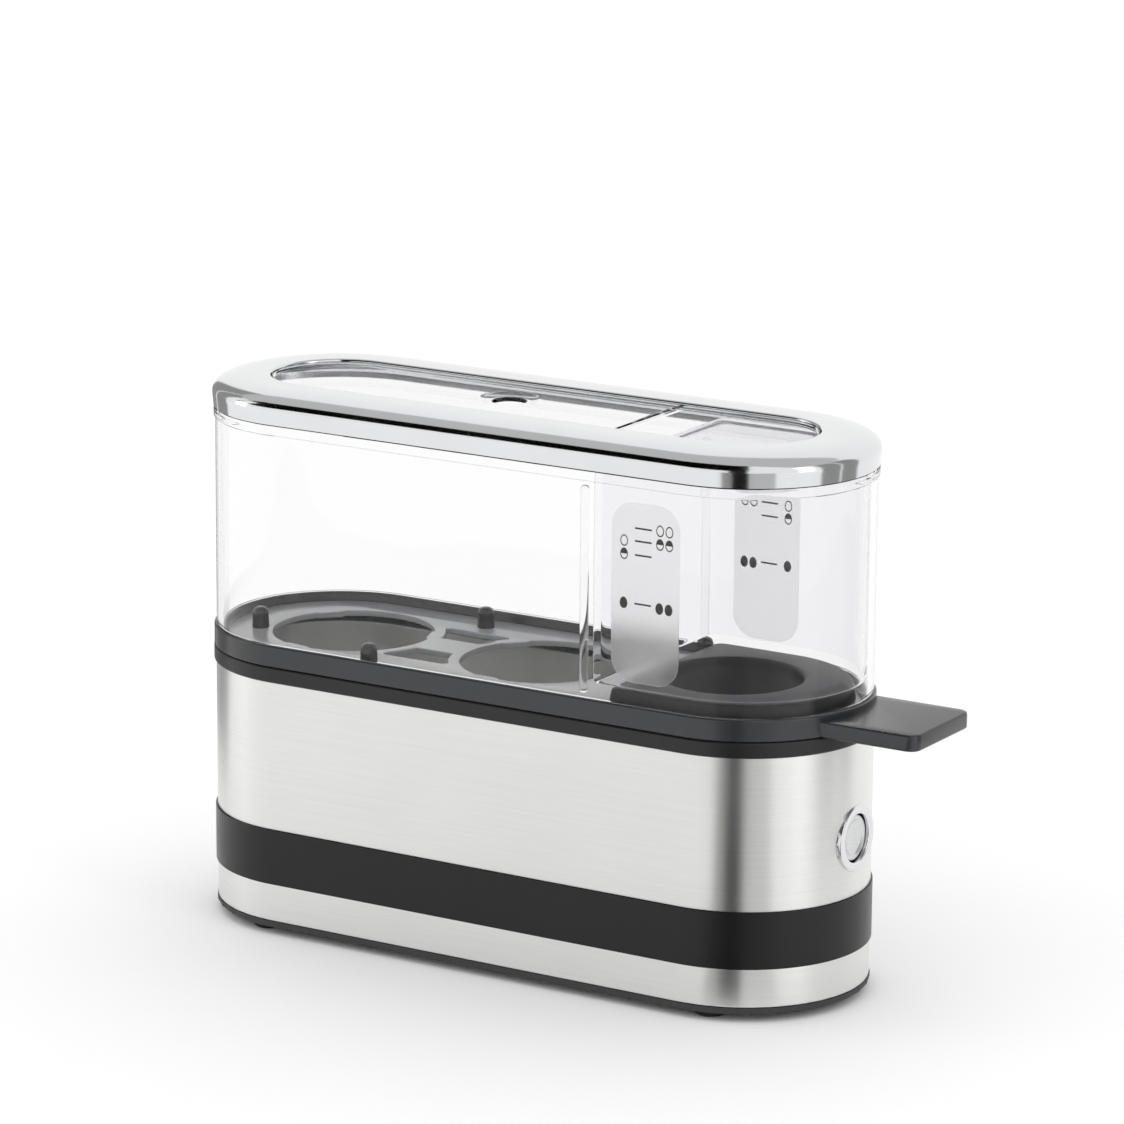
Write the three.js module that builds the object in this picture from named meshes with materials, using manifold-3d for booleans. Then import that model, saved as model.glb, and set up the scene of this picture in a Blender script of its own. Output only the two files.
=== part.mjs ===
// Egg cooker for one or two eggs: a narrow base with round ends, an egg tray with a flat handle,
// and a clear hood with a plated cap ring and a measuring vessel held upside down in one end.
// Millimetres, +Z up, +X towards the handle. The parts are built round the middle of the base,
// and the whole group is then moved so that the origin is under the middle of the object.

import * as THREE from "three";
import { mergeVertices } from "three/addons/utils/BufferGeometryUtils.js";
import Module from "manifold-3d";

const wasm = await Module();
wasm.setup();

// Driving dimensions
const bodyLength = 185;
const bodyWidth = 64;
const sideRadius = bodyWidth / 2; // outside of the steel sleeves
const straight = bodyLength / 2 - sideRadius; // from the middle to the centre of each round end
const roundSegments = 32; // round an outline: both ends together
const sheet = 0.6; // steel sheet
const gap = 0.3; // between pieces that only stand side by side

// Heights above the floor
const footTop = 2.7;
const plateBottom = 2;
const plateTop = 4;
const lowerSleeveBottom = 3.9;
const bandBottom = 13.8;
const bandTop = 28.3;
const rimBottom = 67.5;
const rimTop = 71.5;
const ledgeTop = 69.6;
const trayBottom = 71.6;
const deckTop = 75;
const trayTop = 77.2;
const hoodBottom = 77.25;
const beadBottom = 131.8;
const capBottom = 134.4;
const domeBottom = 136.2; // of the hood's dome and of the cap ring's underside
const capShoulder = 138; // where the cap ring's upright wall starts to turn in
const capTop = 142.5;

// Outline radii, at the round ends
const bandRadius = sideRadius + 0.5;
const sleeveInside = sideRadius - sheet;
const rimRadius = sideRadius + 0.6;
const trayRadius = sideRadius + 0.5;
const hoodRadius = sideRadius - 0.1;
const hoodInside = hoodRadius - 1.6;
const capRadius = sideRadius + 0.6;
const capOpening = 17.5;
const domeCentre = 20.5; // where the dome and the cap ring meet their flat tops

// Egg tray
const eggHoleRadius = 21;
const eggHoles = [-56, 1.5];
const seatX = 57;
const platformLeft = 36.5;
const platformTop = 79.4;
const platformInset = 27.3;
const pegPlaces = [
  [-78.5, -10],
  [-34, -26],
  [-29, 21.5],
  [33.8, 25.8],
];
const handleHalfWidth = 14.6;
const handleTip = bodyLength / 2 + 23.4;
const handleThickness = 4.2;

// Power button, on the round end under the handle
const buttonHeight = 43;
const bezelRadius = 8.5;
const barrelRadius = 7.6;
const buttonRadius = 5.8;
const buttonFace = bodyLength / 2 - 0.5;
const buttonTravel = 2;

// Screws that close the base from below, and feet
const screwX = 40;
const screwY = 24.6;
const shaftHole = 1.8;
const footX = 66;
const footY = 25;

// Parts inside the base
const boardX = 44;
const boardPostX = 14;
const boardPostY = 10;
const boardBottom = 10;
const glandX = -45;
const glandHeight = 21;
const dishBottom = 57.4;
const elementRadius = 2.6;
const switchFace = 81;
const wireRadius = 1.1;

// Hood's steam hole, parting line and ribs, and the measuring vessel
const ventX = -9;
const partingX = 31.8;
const ribX = 31.4;
const vesselLeft = 33.6;
const vesselBottom = 80.8;
const vesselTop = 138.2;

// ---- materials ----

const look = (color, roughness, metalness = 0, opacity = 1) =>
  new THREE.MeshStandardMaterial({
    color,
    roughness,
    metalness,
    opacity,
    transparent: opacity < 1,
  });

const brushedSteel = look(0xc9c9c8, 0.32, 1);
const chrome = look(0xe6e6e6, 0.05, 1);
const dishSteel = look(0x6c6c6c, 0.35, 1);
const satinMetal = look(0xdcdcdc, 0.25, 1);
const blackPlastic = look(0x232323, 0.38);
const innerPlastic = look(0x3a3a3a, 0.55);
const rubber = look(0x151515, 0.8);
const clearPlastic = look(0xf4f6f6, 0.06, 0, 0.25);
const springSteel = look(0x9a9a9a, 0.3, 1);
const zincSteel = look(0xa8a8a4, 0.35, 1);
const boardGreen = look(0x2f5a3a, 0.6);
const fuseWhite = look(0xd8d4c8, 0.5);
const insulationBlue = look(0x2c4d8c, 0.5);
const insulationBrown = look(0x6b3f22, 0.5);
const insulationGrey = look(0x7d7d7d, 0.5);

const cooker = new THREE.Group();

// ---- shape helpers ----

// A three.js geometry as a manifold-3d solid.
function solid(geometry) {
  const bare = geometry.index ? geometry.toNonIndexed() : geometry.clone();
  const places = new THREE.BufferGeometry().setAttribute(
    "position",
    bare.getAttribute("position"),
  );
  const merged = mergeVertices(places, 1e-3);
  return new wasm.Manifold(
    new wasm.Mesh({
      numProp: 3,
      vertProperties: merged.attributes.position.array,
      triVerts: new Uint32Array(merged.index.array),
    }),
  );
}

// A manifold-3d solid as a three.js geometry.
function geometryOf(body) {
  const mesh = body.getMesh();
  const count = mesh.numProp;
  const places = new Float32Array(mesh.numVert * 3);
  for (let i = 0; i < mesh.numVert; i += 1) {
    places.set(
      mesh.vertProperties.subarray(i * count, i * count + 3),
      i * 3,
    );
  }
  return new THREE.BufferGeometry()
    .setAttribute("position", new THREE.BufferAttribute(places, 3))
    .setIndex(new THREE.BufferAttribute(mesh.triVerts, 1));
}

const moved = (geometry, x, y, z) => geometry.translate(x, y, z);

// A profile of [radius, height] pairs, anticlockwise, turned about +Z.
function turned(profile, segments) {
  const points = profile.map(([r, z]) => new THREE.Vector2(r, z));
  return new THREE.LatheGeometry(points, segments).rotateX(Math.PI / 2);
}

// The same, turned about an axis that points along +X.
function turnedAlongX(profile, segments) {
  const points = profile.map(([r, x]) => new THREE.Vector2(r, x));
  return new THREE.LatheGeometry(points, segments).rotateZ(-Math.PI / 2);
}

// A profile carried round an outline with two round ends and two straight sides: it is turned
// about +Z, and each half is then moved outwards along X, which stretches the faces between them.
// The faces, and not the edges between them, are at the profile's radius.
function obround(profile) {
  const segments = roundSegments;
  const start = Math.PI / segments;
  const outwards = 1 / Math.cos(start);
  const points = profile.map(([r, z]) => new THREE.Vector2(r * outwards, z));
  const geometry = new THREE.LatheGeometry(points, segments, start);
  geometry.rotateX(Math.PI / 2);
  const position = geometry.getAttribute("position");
  for (let i = 0; i < position.count; i += 1) {
    const column = Math.floor(i / points.length);
    const angle = start + (column / segments) * 2 * Math.PI;
    position.setX(i, position.getX(i) + straight * Math.sign(Math.sin(angle)));
  }
  return geometry;
}

// The four corners of a plain wall's profile.
const wallProfile = (inside, outside, bottom, top) => [
  [inside, bottom],
  [outside, bottom],
  [outside, top],
  [inside, top],
  [inside, bottom],
];

// A quarter of an ellipse from its widest point up to its top, or back down. A power below 1
// fills out its shoulder.
function quarter(centre, bottom, wide, high, steps, down = false, power = 1) {
  const points = [];
  for (let i = 0; i <= steps; i += 1) {
    const angle = ((down ? steps - i : i) / steps) * (Math.PI / 2);
    points.push([
      centre + wide * Math.max(Math.cos(angle), 0) ** power,
      bottom + high * Math.sin(angle) ** power,
    ]);
  }
  return points;
}

const rod = (radius, bottom, top, segments = 12) =>
  turned(
    [
      [0, bottom],
      [radius, bottom],
      [radius, top],
      [0, top],
    ],
    segments,
  );

const rodAlongX = (radius, from, to, segments = 24) =>
  turnedAlongX(
    [
      [0, from],
      [radius, from],
      [radius, to],
      [0, to],
    ],
    segments,
  );

function block(x, y, z, wide, deep, high) {
  return new THREE.BoxGeometry(wide, deep, high).translate(x, y, z + high / 2);
}

// A round wire or tube along points, with flat ends.
function wire(points, radius, steps, sides = 6) {
  const path = new THREE.CatmullRomCurve3(
    points.map(([x, y, z]) => new THREE.Vector3(x, y, z)),
    false,
    "centripetal",
  );
  const section = new THREE.Shape();
  for (let i = 0; i < sides; i += 1) {
    const angle = (i / sides) * 2 * Math.PI;
    const place = [radius * Math.cos(angle), radius * Math.sin(angle)];
    if (i === 0) section.moveTo(...place);
    else section.lineTo(...place);
  }
  return new THREE.ExtrudeGeometry(section, {
    extrudePath: path,
    steps,
    bevelEnabled: false,
  });
}

const corners = (x, y) => [
  ["front_left", -x, -y],
  ["front_right", x, -y],
  ["rear_left", -x, y],
  ["rear_right", x, y],
];

// ---- base ----

// Moulded floor of the base, with an upstand inside the lower sleeve, foot recesses, screw
// bosses, posts for the circuit board and slots that let the heat out.
function bottomPlate() {
  const upstandTop = 8;
  let body = solid(
    obround([
      [0, plateBottom],
      [sideRadius - 0.5, plateBottom],
      [sideRadius + 0.1, plateBottom + 0.6],
      [sideRadius + 0.1, lowerSleeveBottom - 0.1],
      [sleeveInside - 0.2, lowerSleeveBottom - 0.1],
      [sleeveInside - 0.2, upstandTop],
      [sleeveInside - 1.6, upstandTop],
      [sleeveInside - 1.6, plateTop],
      [0, plateTop],
    ]),
  );
  for (const [, x, y] of corners(screwX, screwY)) {
    body = body
      .add(solid(moved(rod(4.2, 3, upstandTop), x, y, 0)))
      .subtract(solid(moved(rod(shaftHole, 0, 9), x, y, 0)))
      .subtract(solid(moved(rod(3.1, 0, 5), x, y, 0)));
  }
  for (const [, x, y] of corners(footX, footY)) {
    body = body.subtract(solid(moved(rod(4.6, 0, footTop), x, y, 0)));
  }
  for (const [, x, y] of corners(boardPostX, boardPostY)) {
    const post = rod(2, 3, boardBottom - 0.05, 10);
    body = body.add(solid(moved(post, x + boardX, y, 0)));
  }
  const slotWidth = 2.4;
  for (let i = -2; i <= 2; i += 1) {
    body = body.subtract(solid(block(i * 7, 0, 0, slotWidth, 30, 6)));
  }
  return geometryOf(body);
}

// Rubber foot, glued into its recess.
const foot = () =>
  turned(
    [
      [0, 0],
      [3.4, 0],
      [4.1, 0.6],
      [4.1, footTop - 0.05],
      [0, footTop - 0.05],
    ],
    12,
  );

// Plastic chassis: the dark band between the two steel sleeves, with flanges that run up and
// down inside them, four screw pillars and the hole for the cable gland.
function chassis() {
  const flangeOut = sleeveInside - 0.2;
  const flangeIn = flangeOut - 1.8;
  const bottom = 8.3;
  const pillarTop = 22;
  const flangeTop = 34;
  const edge = 0.3;
  let body = solid(
    obround([
      [flangeIn, bottom],
      [flangeOut, bottom],
      [flangeOut, bandBottom],
      [bandRadius - edge, bandBottom],
      [bandRadius, bandBottom + edge],
      [bandRadius, bandTop - edge],
      [bandRadius - edge, bandTop],
      [flangeOut, bandTop],
      [flangeOut, flangeTop],
      [flangeIn, flangeTop],
      [flangeIn, bottom],
    ]),
  );
  for (const [, x, y] of corners(screwX, screwY)) {
    body = body
      .add(solid(moved(rod(3.6, bottom, pillarTop), x, y, 0)))
      .add(solid(block(x, y + 2.4 * Math.sign(y), bottom, 2, 7, pillarTop - bottom)))
      .subtract(solid(moved(rod(shaftHole, 7, 19), x, y, 0)));
  }
  const bore = rodAlongX(4.9, 20, 40).rotateZ(Math.PI / 2);
  const seat = rodAlongX(6.9, 31, 40).rotateZ(Math.PI / 2);
  body = body.subtract(solid(moved(bore, glandX, 0, glandHeight)));
  body = body.subtract(solid(moved(seat, glandX, 0, glandHeight)));
  return geometryOf(body);
}

// Bush that the supply lead passes through, flush with the back of the band.
function cableGland() {
  const bush = turnedAlongX(
    [
      [3.4, 28],
      [4.6, 28],
      [4.6, 31.2],
      [6.6, 31.2],
      [6.6, 32],
      [6.2, 32.3],
      [3.9, 32.3],
      [3.4, 31.8],
      [3.4, 28],
    ],
    16,
  );
  return bush.rotateZ(Math.PI / 2);
}

const lowerSleeve = () =>
  obround(
    wallProfile(
      sleeveInside,
      sideRadius,
      lowerSleeveBottom,
      bandBottom - 0.05,
    ),
  );

// Upper steel sleeve, with the round hole for the button's bezel.
function upperSleeve() {
  const wall = solid(
    obround(
      wallProfile(
        sleeveInside,
        sideRadius,
        bandTop + 0.05,
        rimBottom - 0.05,
      ),
    ),
  );
  const hole = moved(rodAlongX(barrelRadius + gap, 70, 110, 28), 0, 0, buttonHeight);
  return geometryOf(wall.subtract(solid(hole)));
}

// Dark ring on top of the base: a skirt inside the sleeve and a ledge that carries the dish.
const topRim = () =>
  obround([
    [sleeveInside - 1.6, 60],
    [sleeveInside - 0.2, 60],
    [sleeveInside - 0.2, rimBottom],
    [rimRadius - 0.4, rimBottom],
    [rimRadius, rimBottom + 0.4],
    [rimRadius, rimTop - 0.4],
    [rimRadius - 0.4, rimTop],
    [30.3, rimTop],
    [30.3, ledgeTop],
    [27, ledgeTop],
    [27, 68],
    [sleeveInside - 1.6, 68],
    [sleeveInside - 1.6, 60],
  ]);

// Water dish, pressed from sheet, with a flange on the rim's ledge.
const heatingDish = () =>
  obround([
    [0, dishBottom],
    [24.4, dishBottom],
    [26.6, dishBottom + 1.8],
    [26.6, ledgeTop + 0.05],
    [29.8, ledgeTop + 0.05],
    [29.8, ledgeTop + 0.85],
    [25.8, ledgeTop + 0.85],
    [25.8, dishBottom + 2.2],
    [24.2, dishBottom + 0.8],
    [0, dishBottom + 0.8],
  ]);

// Tubular heating element under the dish: one open loop whose ends turn down.
function heatingElement() {
  const radius = 14;
  const side = 30;
  const level = dishBottom - elementRadius - gap;
  const points = [
    [-side - 12, 3.6, level - 12],
    [-side - 13, 4, level - 3],
    [-side - 11, 8, level],
  ];
  points.push([-side, radius, level], [0, radius, level], [side, radius, level]);
  points.push([side + 10, 10, level], [side + radius, 0, level]);
  points.push([side + 10, -10, level]);
  points.push([side, -radius, level], [0, -radius, level], [-side, -radius, level]);
  points.push([-side - 11, -8, level]);
  points.push([-side - 13, -4, level - 3], [-side - 12, -3.6, level - 12]);
  return wire(points, elementRadius, 32, 6);
}

// Snap-action thermostat that touches the middle of the dish.
function thermostat() {
  let body = solid(
    turned(
      [
        [0, 46],
        [7, 46],
        [7, 53.6],
        [9.2, 53.6],
        [9.2, dishBottom - 0.1],
        [0, dishBottom - 0.1],
      ],
      16,
    ),
  );
  for (const side of [-1, 1]) {
    body = body.add(solid(block(side * 4, 0, 40, 0.8, 5, 7)));
  }
  return geometryOf(body);
}

// Thermal fuse beside the thermostat.
const thermalFuse = () => rodAlongX(1.9, 14, 26, 12);

// ---- button ----

// Plated ring round the button. Its barrel passes through the sleeve, and the back of its
// front flange follows the sleeve's curve.
function buttonBezel() {
  const face = bodyLength / 2 + 0.35;
  const bore = 6.1;
  const ring = (outside, back) =>
    solid(
      turnedAlongX(
        [
          [bore, back],
          [outside, back],
          [outside, face - 0.4],
          [outside - 0.4, face],
          [bore + 0.6, face],
          [bore, face - 0.6],
          [bore, back],
        ],
        24,
      ),
    );
  const sleeve = obround([
    [0, -20],
    [sideRadius + 0.05, -20],
    [sideRadius + 0.05, 20],
    [0, 20],
  ]);
  const flange = ring(bezelRadius, 88).subtract(solid(sleeve));
  return geometryOf(flange.add(ring(barrelRadius, 84)));
}

// Push button: a dished cap and the stem that works the switch.
function button() {
  const stemEnd = switchFace + buttonTravel + 0.4;
  return turnedAlongX(
    [
      [0, stemEnd],
      [1.6, stemEnd],
      [1.6, 86],
      [buttonRadius, 86],
      [buttonRadius, buttonFace - 0.5],
      [buttonRadius - 0.5, buttonFace],
      [buttonRadius - 1.2, buttonFace],
      [0, buttonFace - 0.35],
    ],
    24,
  );
}

// Return spring round the stem.
function buttonSpring() {
  const turns = 3;
  const radius = 2.7;
  const from = switchFace + 0.55;
  const to = 85.45;
  const steps = 8 * turns;
  const points = [];
  for (let i = 0; i <= steps; i += 1) {
    const angle = (i / 8) * 2 * Math.PI;
    points.push([
      from + ((to - from) * i) / steps,
      radius * Math.cos(angle),
      radius * Math.sin(angle),
    ]);
  }
  return wire(points, 0.35, steps, 4);
}

// Switch on a post that stands on the base's floor, with two terminals at the back.
function switchBody() {
  const depth = 14;
  const bottom = buttonHeight - 8;
  const middle = switchFace - depth / 2;
  const post = block(middle, 0, plateTop + 0.05, 6, 12, bottom - plateTop);
  let body = solid(block(middle, 0, bottom, depth, 15, 16)).add(solid(post));
  for (const side of [-1, 1]) {
    const terminal = block(switchFace - depth - 2, side * 4, buttonHeight - 2, 6, 0.8, 4);
    body = body.add(solid(terminal));
  }
  return geometryOf(body);
}

// ---- electrics in the base ----

// Circuit board on four posts.
const circuitBoard = () => block(boardX, 0, boardBottom, 34, 26, 1.6);

const buzzer = () => rod(6, boardBottom + 1.65, boardBottom + 9, 20);

const terminalBlock = () => block(0, 0, plateTop + 0.05, 16, 22, 10);

const wires = {
  wire_to_switch: {
    points: [
      [-47, -7, 17],
      [-36, -11, 21],
      [0, -19, 25],
      [40, -17, 32],
      [54, -6, 40],
      [61.7, -4, 43],
    ],
    colour: insulationBrown,
  },
  wire_to_heater: {
    points: [
      [61.7, 4, 43],
      [54, 7, 41],
      [34, 19, 36],
      [-14, 18, 36],
      [-40, 8, 38],
      [-42, 3.6, 41],
    ],
    colour: insulationGrey,
  },
  wire_from_heater: {
    points: [
      [-42, -3.6, 41],
      [-43, -5, 34],
      [-50, 2, 24],
      [-53, 4, 17],
    ],
    colour: insulationBlue,
  },
};

// ---- egg tray ----

// A hole for an egg: round, with three small stops that point inwards.
function eggHole(x) {
  const height = [60, 90];
  let hole = solid(moved(rod(eggHoleRadius, ...height, 28), x, 0, 0));
  for (const turn of [20, 140, 260]) {
    const angle = (turn * Math.PI) / 180;
    const tab = block(eggHoleRadius + 2, 0, height[0], 6, 7, 30);
    hole = hole.subtract(solid(tab.rotateZ(angle).translate(x, 0, 0)));
  }
  return hole;
}

// The three-cornered hole in the web between the egg holes, on one side.
function webHole(side) {
  const middle = (eggHoles[0] + eggHoles[1]) / 2;
  const reach = eggHoleRadius + 3;
  const across = (eggHoles[1] - eggHoles[0]) / 2;
  const outer = 0.68; // angle from the line of centres to the hole's outer corners
  const inner = 0.24; // and to its inner ones
  const end = reach * Math.sin(outer) + 1.2;
  const inset = across - reach * Math.cos(outer);
  const shape = new THREE.Shape();
  shape.moveTo(-inset, end);
  for (let i = 1; i <= 4; i += 1) {
    const turn = outer - ((outer - inner) * i) / 4;
    shape.lineTo(-across + reach * Math.cos(turn), reach * Math.sin(turn));
  }
  for (let i = 4; i >= 1; i -= 1) {
    const turn = outer - ((outer - inner) * i) / 4;
    shape.lineTo(across - reach * Math.cos(turn), reach * Math.sin(turn));
  }
  shape.lineTo(inset, end);
  const cut = new THREE.ExtrudeGeometry(shape, { depth: 20, bevelEnabled: false });
  if (side < 0) cut.rotateZ(Math.PI);
  return solid(cut.translate(middle, 0, 65));
}

// Outline of the raised end of the tray, inset from the wall, with its left side straight.
function platformShape(inset) {
  const corner = 3;
  const left = platformLeft + (platformInset - inset);
  const shape = new THREE.Shape();
  shape.moveTo(left, -inset + corner);
  shape.quadraticCurveTo(left, -inset, left + corner, -inset);
  shape.lineTo(straight, -inset);
  shape.absarc(straight, 0, inset, -Math.PI / 2, Math.PI / 2, false);
  shape.lineTo(left + corner, inset);
  shape.quadraticCurveTo(left, inset, left, inset - corner);
  shape.closePath();
  return shape;
}

function platform(inset, bottom, top, bevel) {
  const geometry = new THREE.ExtrudeGeometry(platformShape(inset - bevel), {
    depth: top - bottom - bevel,
    bevelEnabled: bevel > 0,
    bevelThickness: bevel,
    bevelSize: bevel,
    bevelSegments: 1,
    curveSegments: 10,
  });
  return solid(geometry.translate(0, 0, bottom));
}

// Bowl that an egg is set into, point down, to be pierced. The profile is an arc.
function bowl(radius, depth, thickness) {
  const steps = 4;
  const points = [];
  for (let i = 0; i <= steps; i += 1) {
    const angle = (i / steps) * (Math.PI / 2);
    points.push([
      (radius + thickness) * Math.sin(angle),
      platformTop - (depth + thickness) * Math.cos(angle),
    ]);
  }
  points.push([0, platformTop]);
  return moved(turned(points, 24), seatX, 0, 0);
}

// Tray: outer ring with the deck inside it, a locating skirt, pegs, the raised end with the
// bowl, and the handle, all one moulding.
function eggTray() {
  const skirtOut = 29.8;
  let body = solid(
    obround([
      [0, deckTop - 1.6],
      [skirtOut - 1.4, deckTop - 1.6],
      [skirtOut - 1.4, 70.9],
      [skirtOut, 70.9],
      [skirtOut, trayBottom],
      [trayRadius - 0.3, trayBottom],
      [trayRadius, trayBottom + 0.3],
      [trayRadius, trayTop - 0.4],
      [trayRadius - 0.4, trayTop],
      [29.9, trayTop],
      [29.2, trayTop - 0.7],
      [29.2, deckTop],
      [0, deckTop],
    ]),
  );
  for (const x of eggHoles) {
    body = body.subtract(eggHole(x));
  }
  body = body.subtract(webHole(1)).subtract(webHole(-1));
  for (const [x, y] of pegPlaces) {
    body = body.add(solid(moved(peg(), x, y, 0)));
  }
  const raised = platform(platformInset, deckTop - 1.2, platformTop, 0.8);
  const hollow = platform(platformInset - 1.6, 72, platformTop - 1.6, 0);
  const bowlRadius = eggHoleRadius - 0.2;
  const bowlDepth = 11;
  body = body.add(raised).subtract(hollow);
  body = body.add(solid(bowl(bowlRadius, bowlDepth, 1.5)));
  body = body.subtract(solid(bowl(bowlRadius, bowlDepth, 0)));
  body = body.subtract(solid(moved(rod(1.1, 60, 75, 12), seatX, 0, 0)));
  return geometryOf(body.add(handle()));
}

const peg = () =>
  turned(
    [
      [0, deckTop - 0.5],
      [2.3, deckTop - 0.5],
      [2.2, deckTop + 3.4],
      [1.4, deckTop + 5],
      [0, deckTop + 5.4],
    ],
    8,
  );

// Flat handle, from the ring outwards, with rounded corners and edges.
function handle() {
  const edge = 0.5;
  const half = handleHalfWidth - edge;
  const tip = handleTip - edge;
  const corner = 2.6;
  const rootRadius = 31;
  const rootAngle = Math.asin(half / rootRadius);
  const shape = new THREE.Shape();
  shape.absarc(straight, 0, rootRadius, rootAngle, -rootAngle, true);
  shape.lineTo(tip - corner, -half);
  shape.absarc(tip - corner, -half + corner, corner, -Math.PI / 2, 0, false);
  shape.lineTo(tip, half - corner);
  shape.absarc(tip - corner, half - corner, corner, 0, Math.PI / 2, false);
  shape.closePath();
  const geometry = new THREE.ExtrudeGeometry(shape, {
    depth: handleThickness - 2 * edge,
    bevelThickness: edge,
    bevelSize: edge,
    bevelSegments: 1,
    curveSegments: 4,
  });
  return solid(geometry.translate(0, 0, trayBottom + edge));
}

// Steel needle that pricks the shell, pressed up through the bowl.
const piercingNeedle = () =>
  turned(
    [
      [0, 64.5],
      [2.2, 64.5],
      [2.2, 66.4],
      [0.8, 66.4],
      [0.8, 69.6],
      [0, 72.4],
    ],
    12,
  );

// Screw with a flat head and a plain shank.
const screw = () =>
  turned(
    [
      [0, 3.2],
      [2.7, 3.2],
      [2.7, 4.9],
      [1.5, 4.9],
      [1.5, 17],
      [0, 18.2],
    ],
    8,
  );

// ---- hood ----

// Clear moulding: wall, bead, dome under the cap ring, and the flat top with the steam hole.
function hood() {
  const topFace = capTop - 0.6;
  let body = solid(
    obround([
      [hoodInside, hoodBottom],
      [hoodRadius, hoodBottom],
      [hoodRadius, beadBottom],
      [hoodRadius + 0.4, beadBottom + 0.3],
      [hoodRadius + 0.4, capBottom - 0.4],
      [hoodRadius, capBottom - 0.1],
      [30.6, capBottom - 0.1],
      ...quarter(domeCentre, domeBottom, 10.1, 4.4, 3),
      [capOpening - 0.4, 140.6],
      [capOpening - 0.4, topFace],
      [0, topFace],
      [0, topFace - 1.8],
      [16.5, topFace - 1.8],
      ...quarter(domeCentre - 0.5, domeBottom, 9.2, 3, 3, true),
      [29.2, capBottom - 1],
      [hoodInside, beadBottom],
      [hoodInside, hoodBottom],
    ]),
  );
  const vent = solid(moved(rod(4.4, 130, 150, 20), ventX, 0, 0));
  const ventDish = solid(
    moved(
      turned(
        [
          [0, topFace - 0.7],
          [5.6, topFace - 0.7],
          [7.6, topFace + 0.2],
          [0, topFace + 0.2],
        ],
        20,
      ),
      ventX,
      0,
      0,
    ),
  );
  body = body.subtract(vent).subtract(ventDish);
  const groove = block(partingX, 0, topFace - 0.9, 1.2, 2 * capOpening - 2, 2);
  body = body.subtract(solid(groove));
  return geometryOf(body.add(guideRibs()));
}

// A rib on each long side that guides the measuring vessel's flat wall.
function guideRibs() {
  const bottom = hoodBottom + 1;
  const high = beadBottom - 1.5 - bottom;
  const [front, rear] = [-1, 1].map((side) =>
    solid(block(ribX, side * (hoodInside - 0.6), bottom, 2.2, 2.2, high)),
  );
  return front.add(rear);
}

// Plated ring on the hood's top edge: an upright wall, a full shoulder and a nearly flat top,
// hollow underneath.
const capRing = () =>
  obround([
    [30.9, capBottom],
    [capRadius - 0.5, capBottom],
    [capRadius - 0.1, capBottom + 0.7],
    ...quarter(domeCentre, capShoulder, capRadius - domeCentre, capTop - capShoulder, 7, false, 0.77),
    [capOpening + 0.9, capTop],
    [capOpening, capTop - 0.4],
    [capOpening, 140.9],
    ...quarter(domeCentre, domeBottom, 10.6, 4.7, 3, true),
    [30.9, capBottom],
  ]);

// Measuring vessel, upside down in the hood's end: open below, its floor under the hood's top.
function measuringVessel() {
  const outer = vesselSolid(0, vesselBottom, vesselTop);
  const inner = vesselSolid(1.5, vesselBottom - 5, vesselTop - 1.8);
  return geometryOf(outer.subtract(inner));
}

// The vessel's outline is the round end of the hood, cut off by a flat wall.
function vesselSolid(inset, bottom, top) {
  const radius = hoodInside - 0.4 - inset;
  const round = solid(
    obround([
      [0, bottom],
      [radius, bottom],
      [radius, Math.min(top - 5.2, capBottom - 4)],
      [radius - 2.6, top - 3],
      [radius - 9, top],
      [0, top],
    ]),
  );
  const wall = vesselLeft + inset;
  const keep = solid(block(wall + 60, 0, bottom - 1, 120, 100, top - bottom + 2));
  return round.intersect(keep);
}

// ---- assembly ----

const base = new THREE.Group();
const tray = new THREE.Group();
const hoodGroup = new THREE.Group();
cooker.add(base, tray, hoodGroup);

function add(group, name, geometry, material, [x, y, z] = [0, 0, 0]) {
  const mesh = new THREE.Mesh(geometry, material);
  mesh.name = name;
  mesh.position.set(x, y, z);
  group.add(mesh);
}

add(base, "bottom_plate", bottomPlate(), innerPlastic);
for (const [place, x, y] of corners(footX, footY)) {
  add(base, "foot_" + place, foot(), rubber, [x, y, 0]);
}
for (const [place, x, y] of corners(screwX, screwY)) {
  add(base, "screw_" + place, screw(), zincSteel, [x, y, 0]);
}
add(base, "lower_sleeve", lowerSleeve(), brushedSteel);
add(base, "chassis_band", chassis(), blackPlastic);
add(base, "cable_gland", cableGland(), rubber, [glandX, 0, glandHeight]);
add(base, "upper_sleeve", upperSleeve(), brushedSteel);
add(base, "top_rim", topRim(), blackPlastic);
add(base, "heating_dish", heatingDish(), dishSteel);
add(base, "heating_element", heatingElement(), zincSteel);
add(base, "thermostat", thermostat(), zincSteel);
add(base, "thermal_fuse", thermalFuse(), fuseWhite, [0, 0, dishBottom - 2.2]);
add(base, "button_bezel", buttonBezel(), satinMetal, [0, 0, buttonHeight]);
add(base, "power_button", button(), satinMetal, [0, 0, buttonHeight]);
add(base, "button_spring", buttonSpring(), springSteel, [0, 0, buttonHeight]);
add(base, "switch_body", switchBody(), innerPlastic);
add(base, "circuit_board", circuitBoard(), boardGreen);
add(base, "buzzer", buzzer(), innerPlastic, [boardX + 7, 4, 0]);
add(base, "terminal_block", terminalBlock(), fuseWhite, [-54, 0, 0]);
for (const [name, { points, colour }] of Object.entries(wires)) {
  add(base, name, wire(points, wireRadius, 12, 5), colour);
}
add(tray, "egg_tray", eggTray(), blackPlastic);
add(tray, "piercing_needle", piercingNeedle(), zincSteel, [seatX, 0, 0]);
add(hoodGroup, "hood", hood(), clearPlastic);
add(hoodGroup, "cap_ring", capRing(), chrome);
add(hoodGroup, "measuring_vessel", measuringVessel(), clearPlastic);

// The origin goes under the middle of the whole, handle included.
cooker.position.x = -(handleTip - straight - rimRadius) / 2;

export default cooker;
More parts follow.
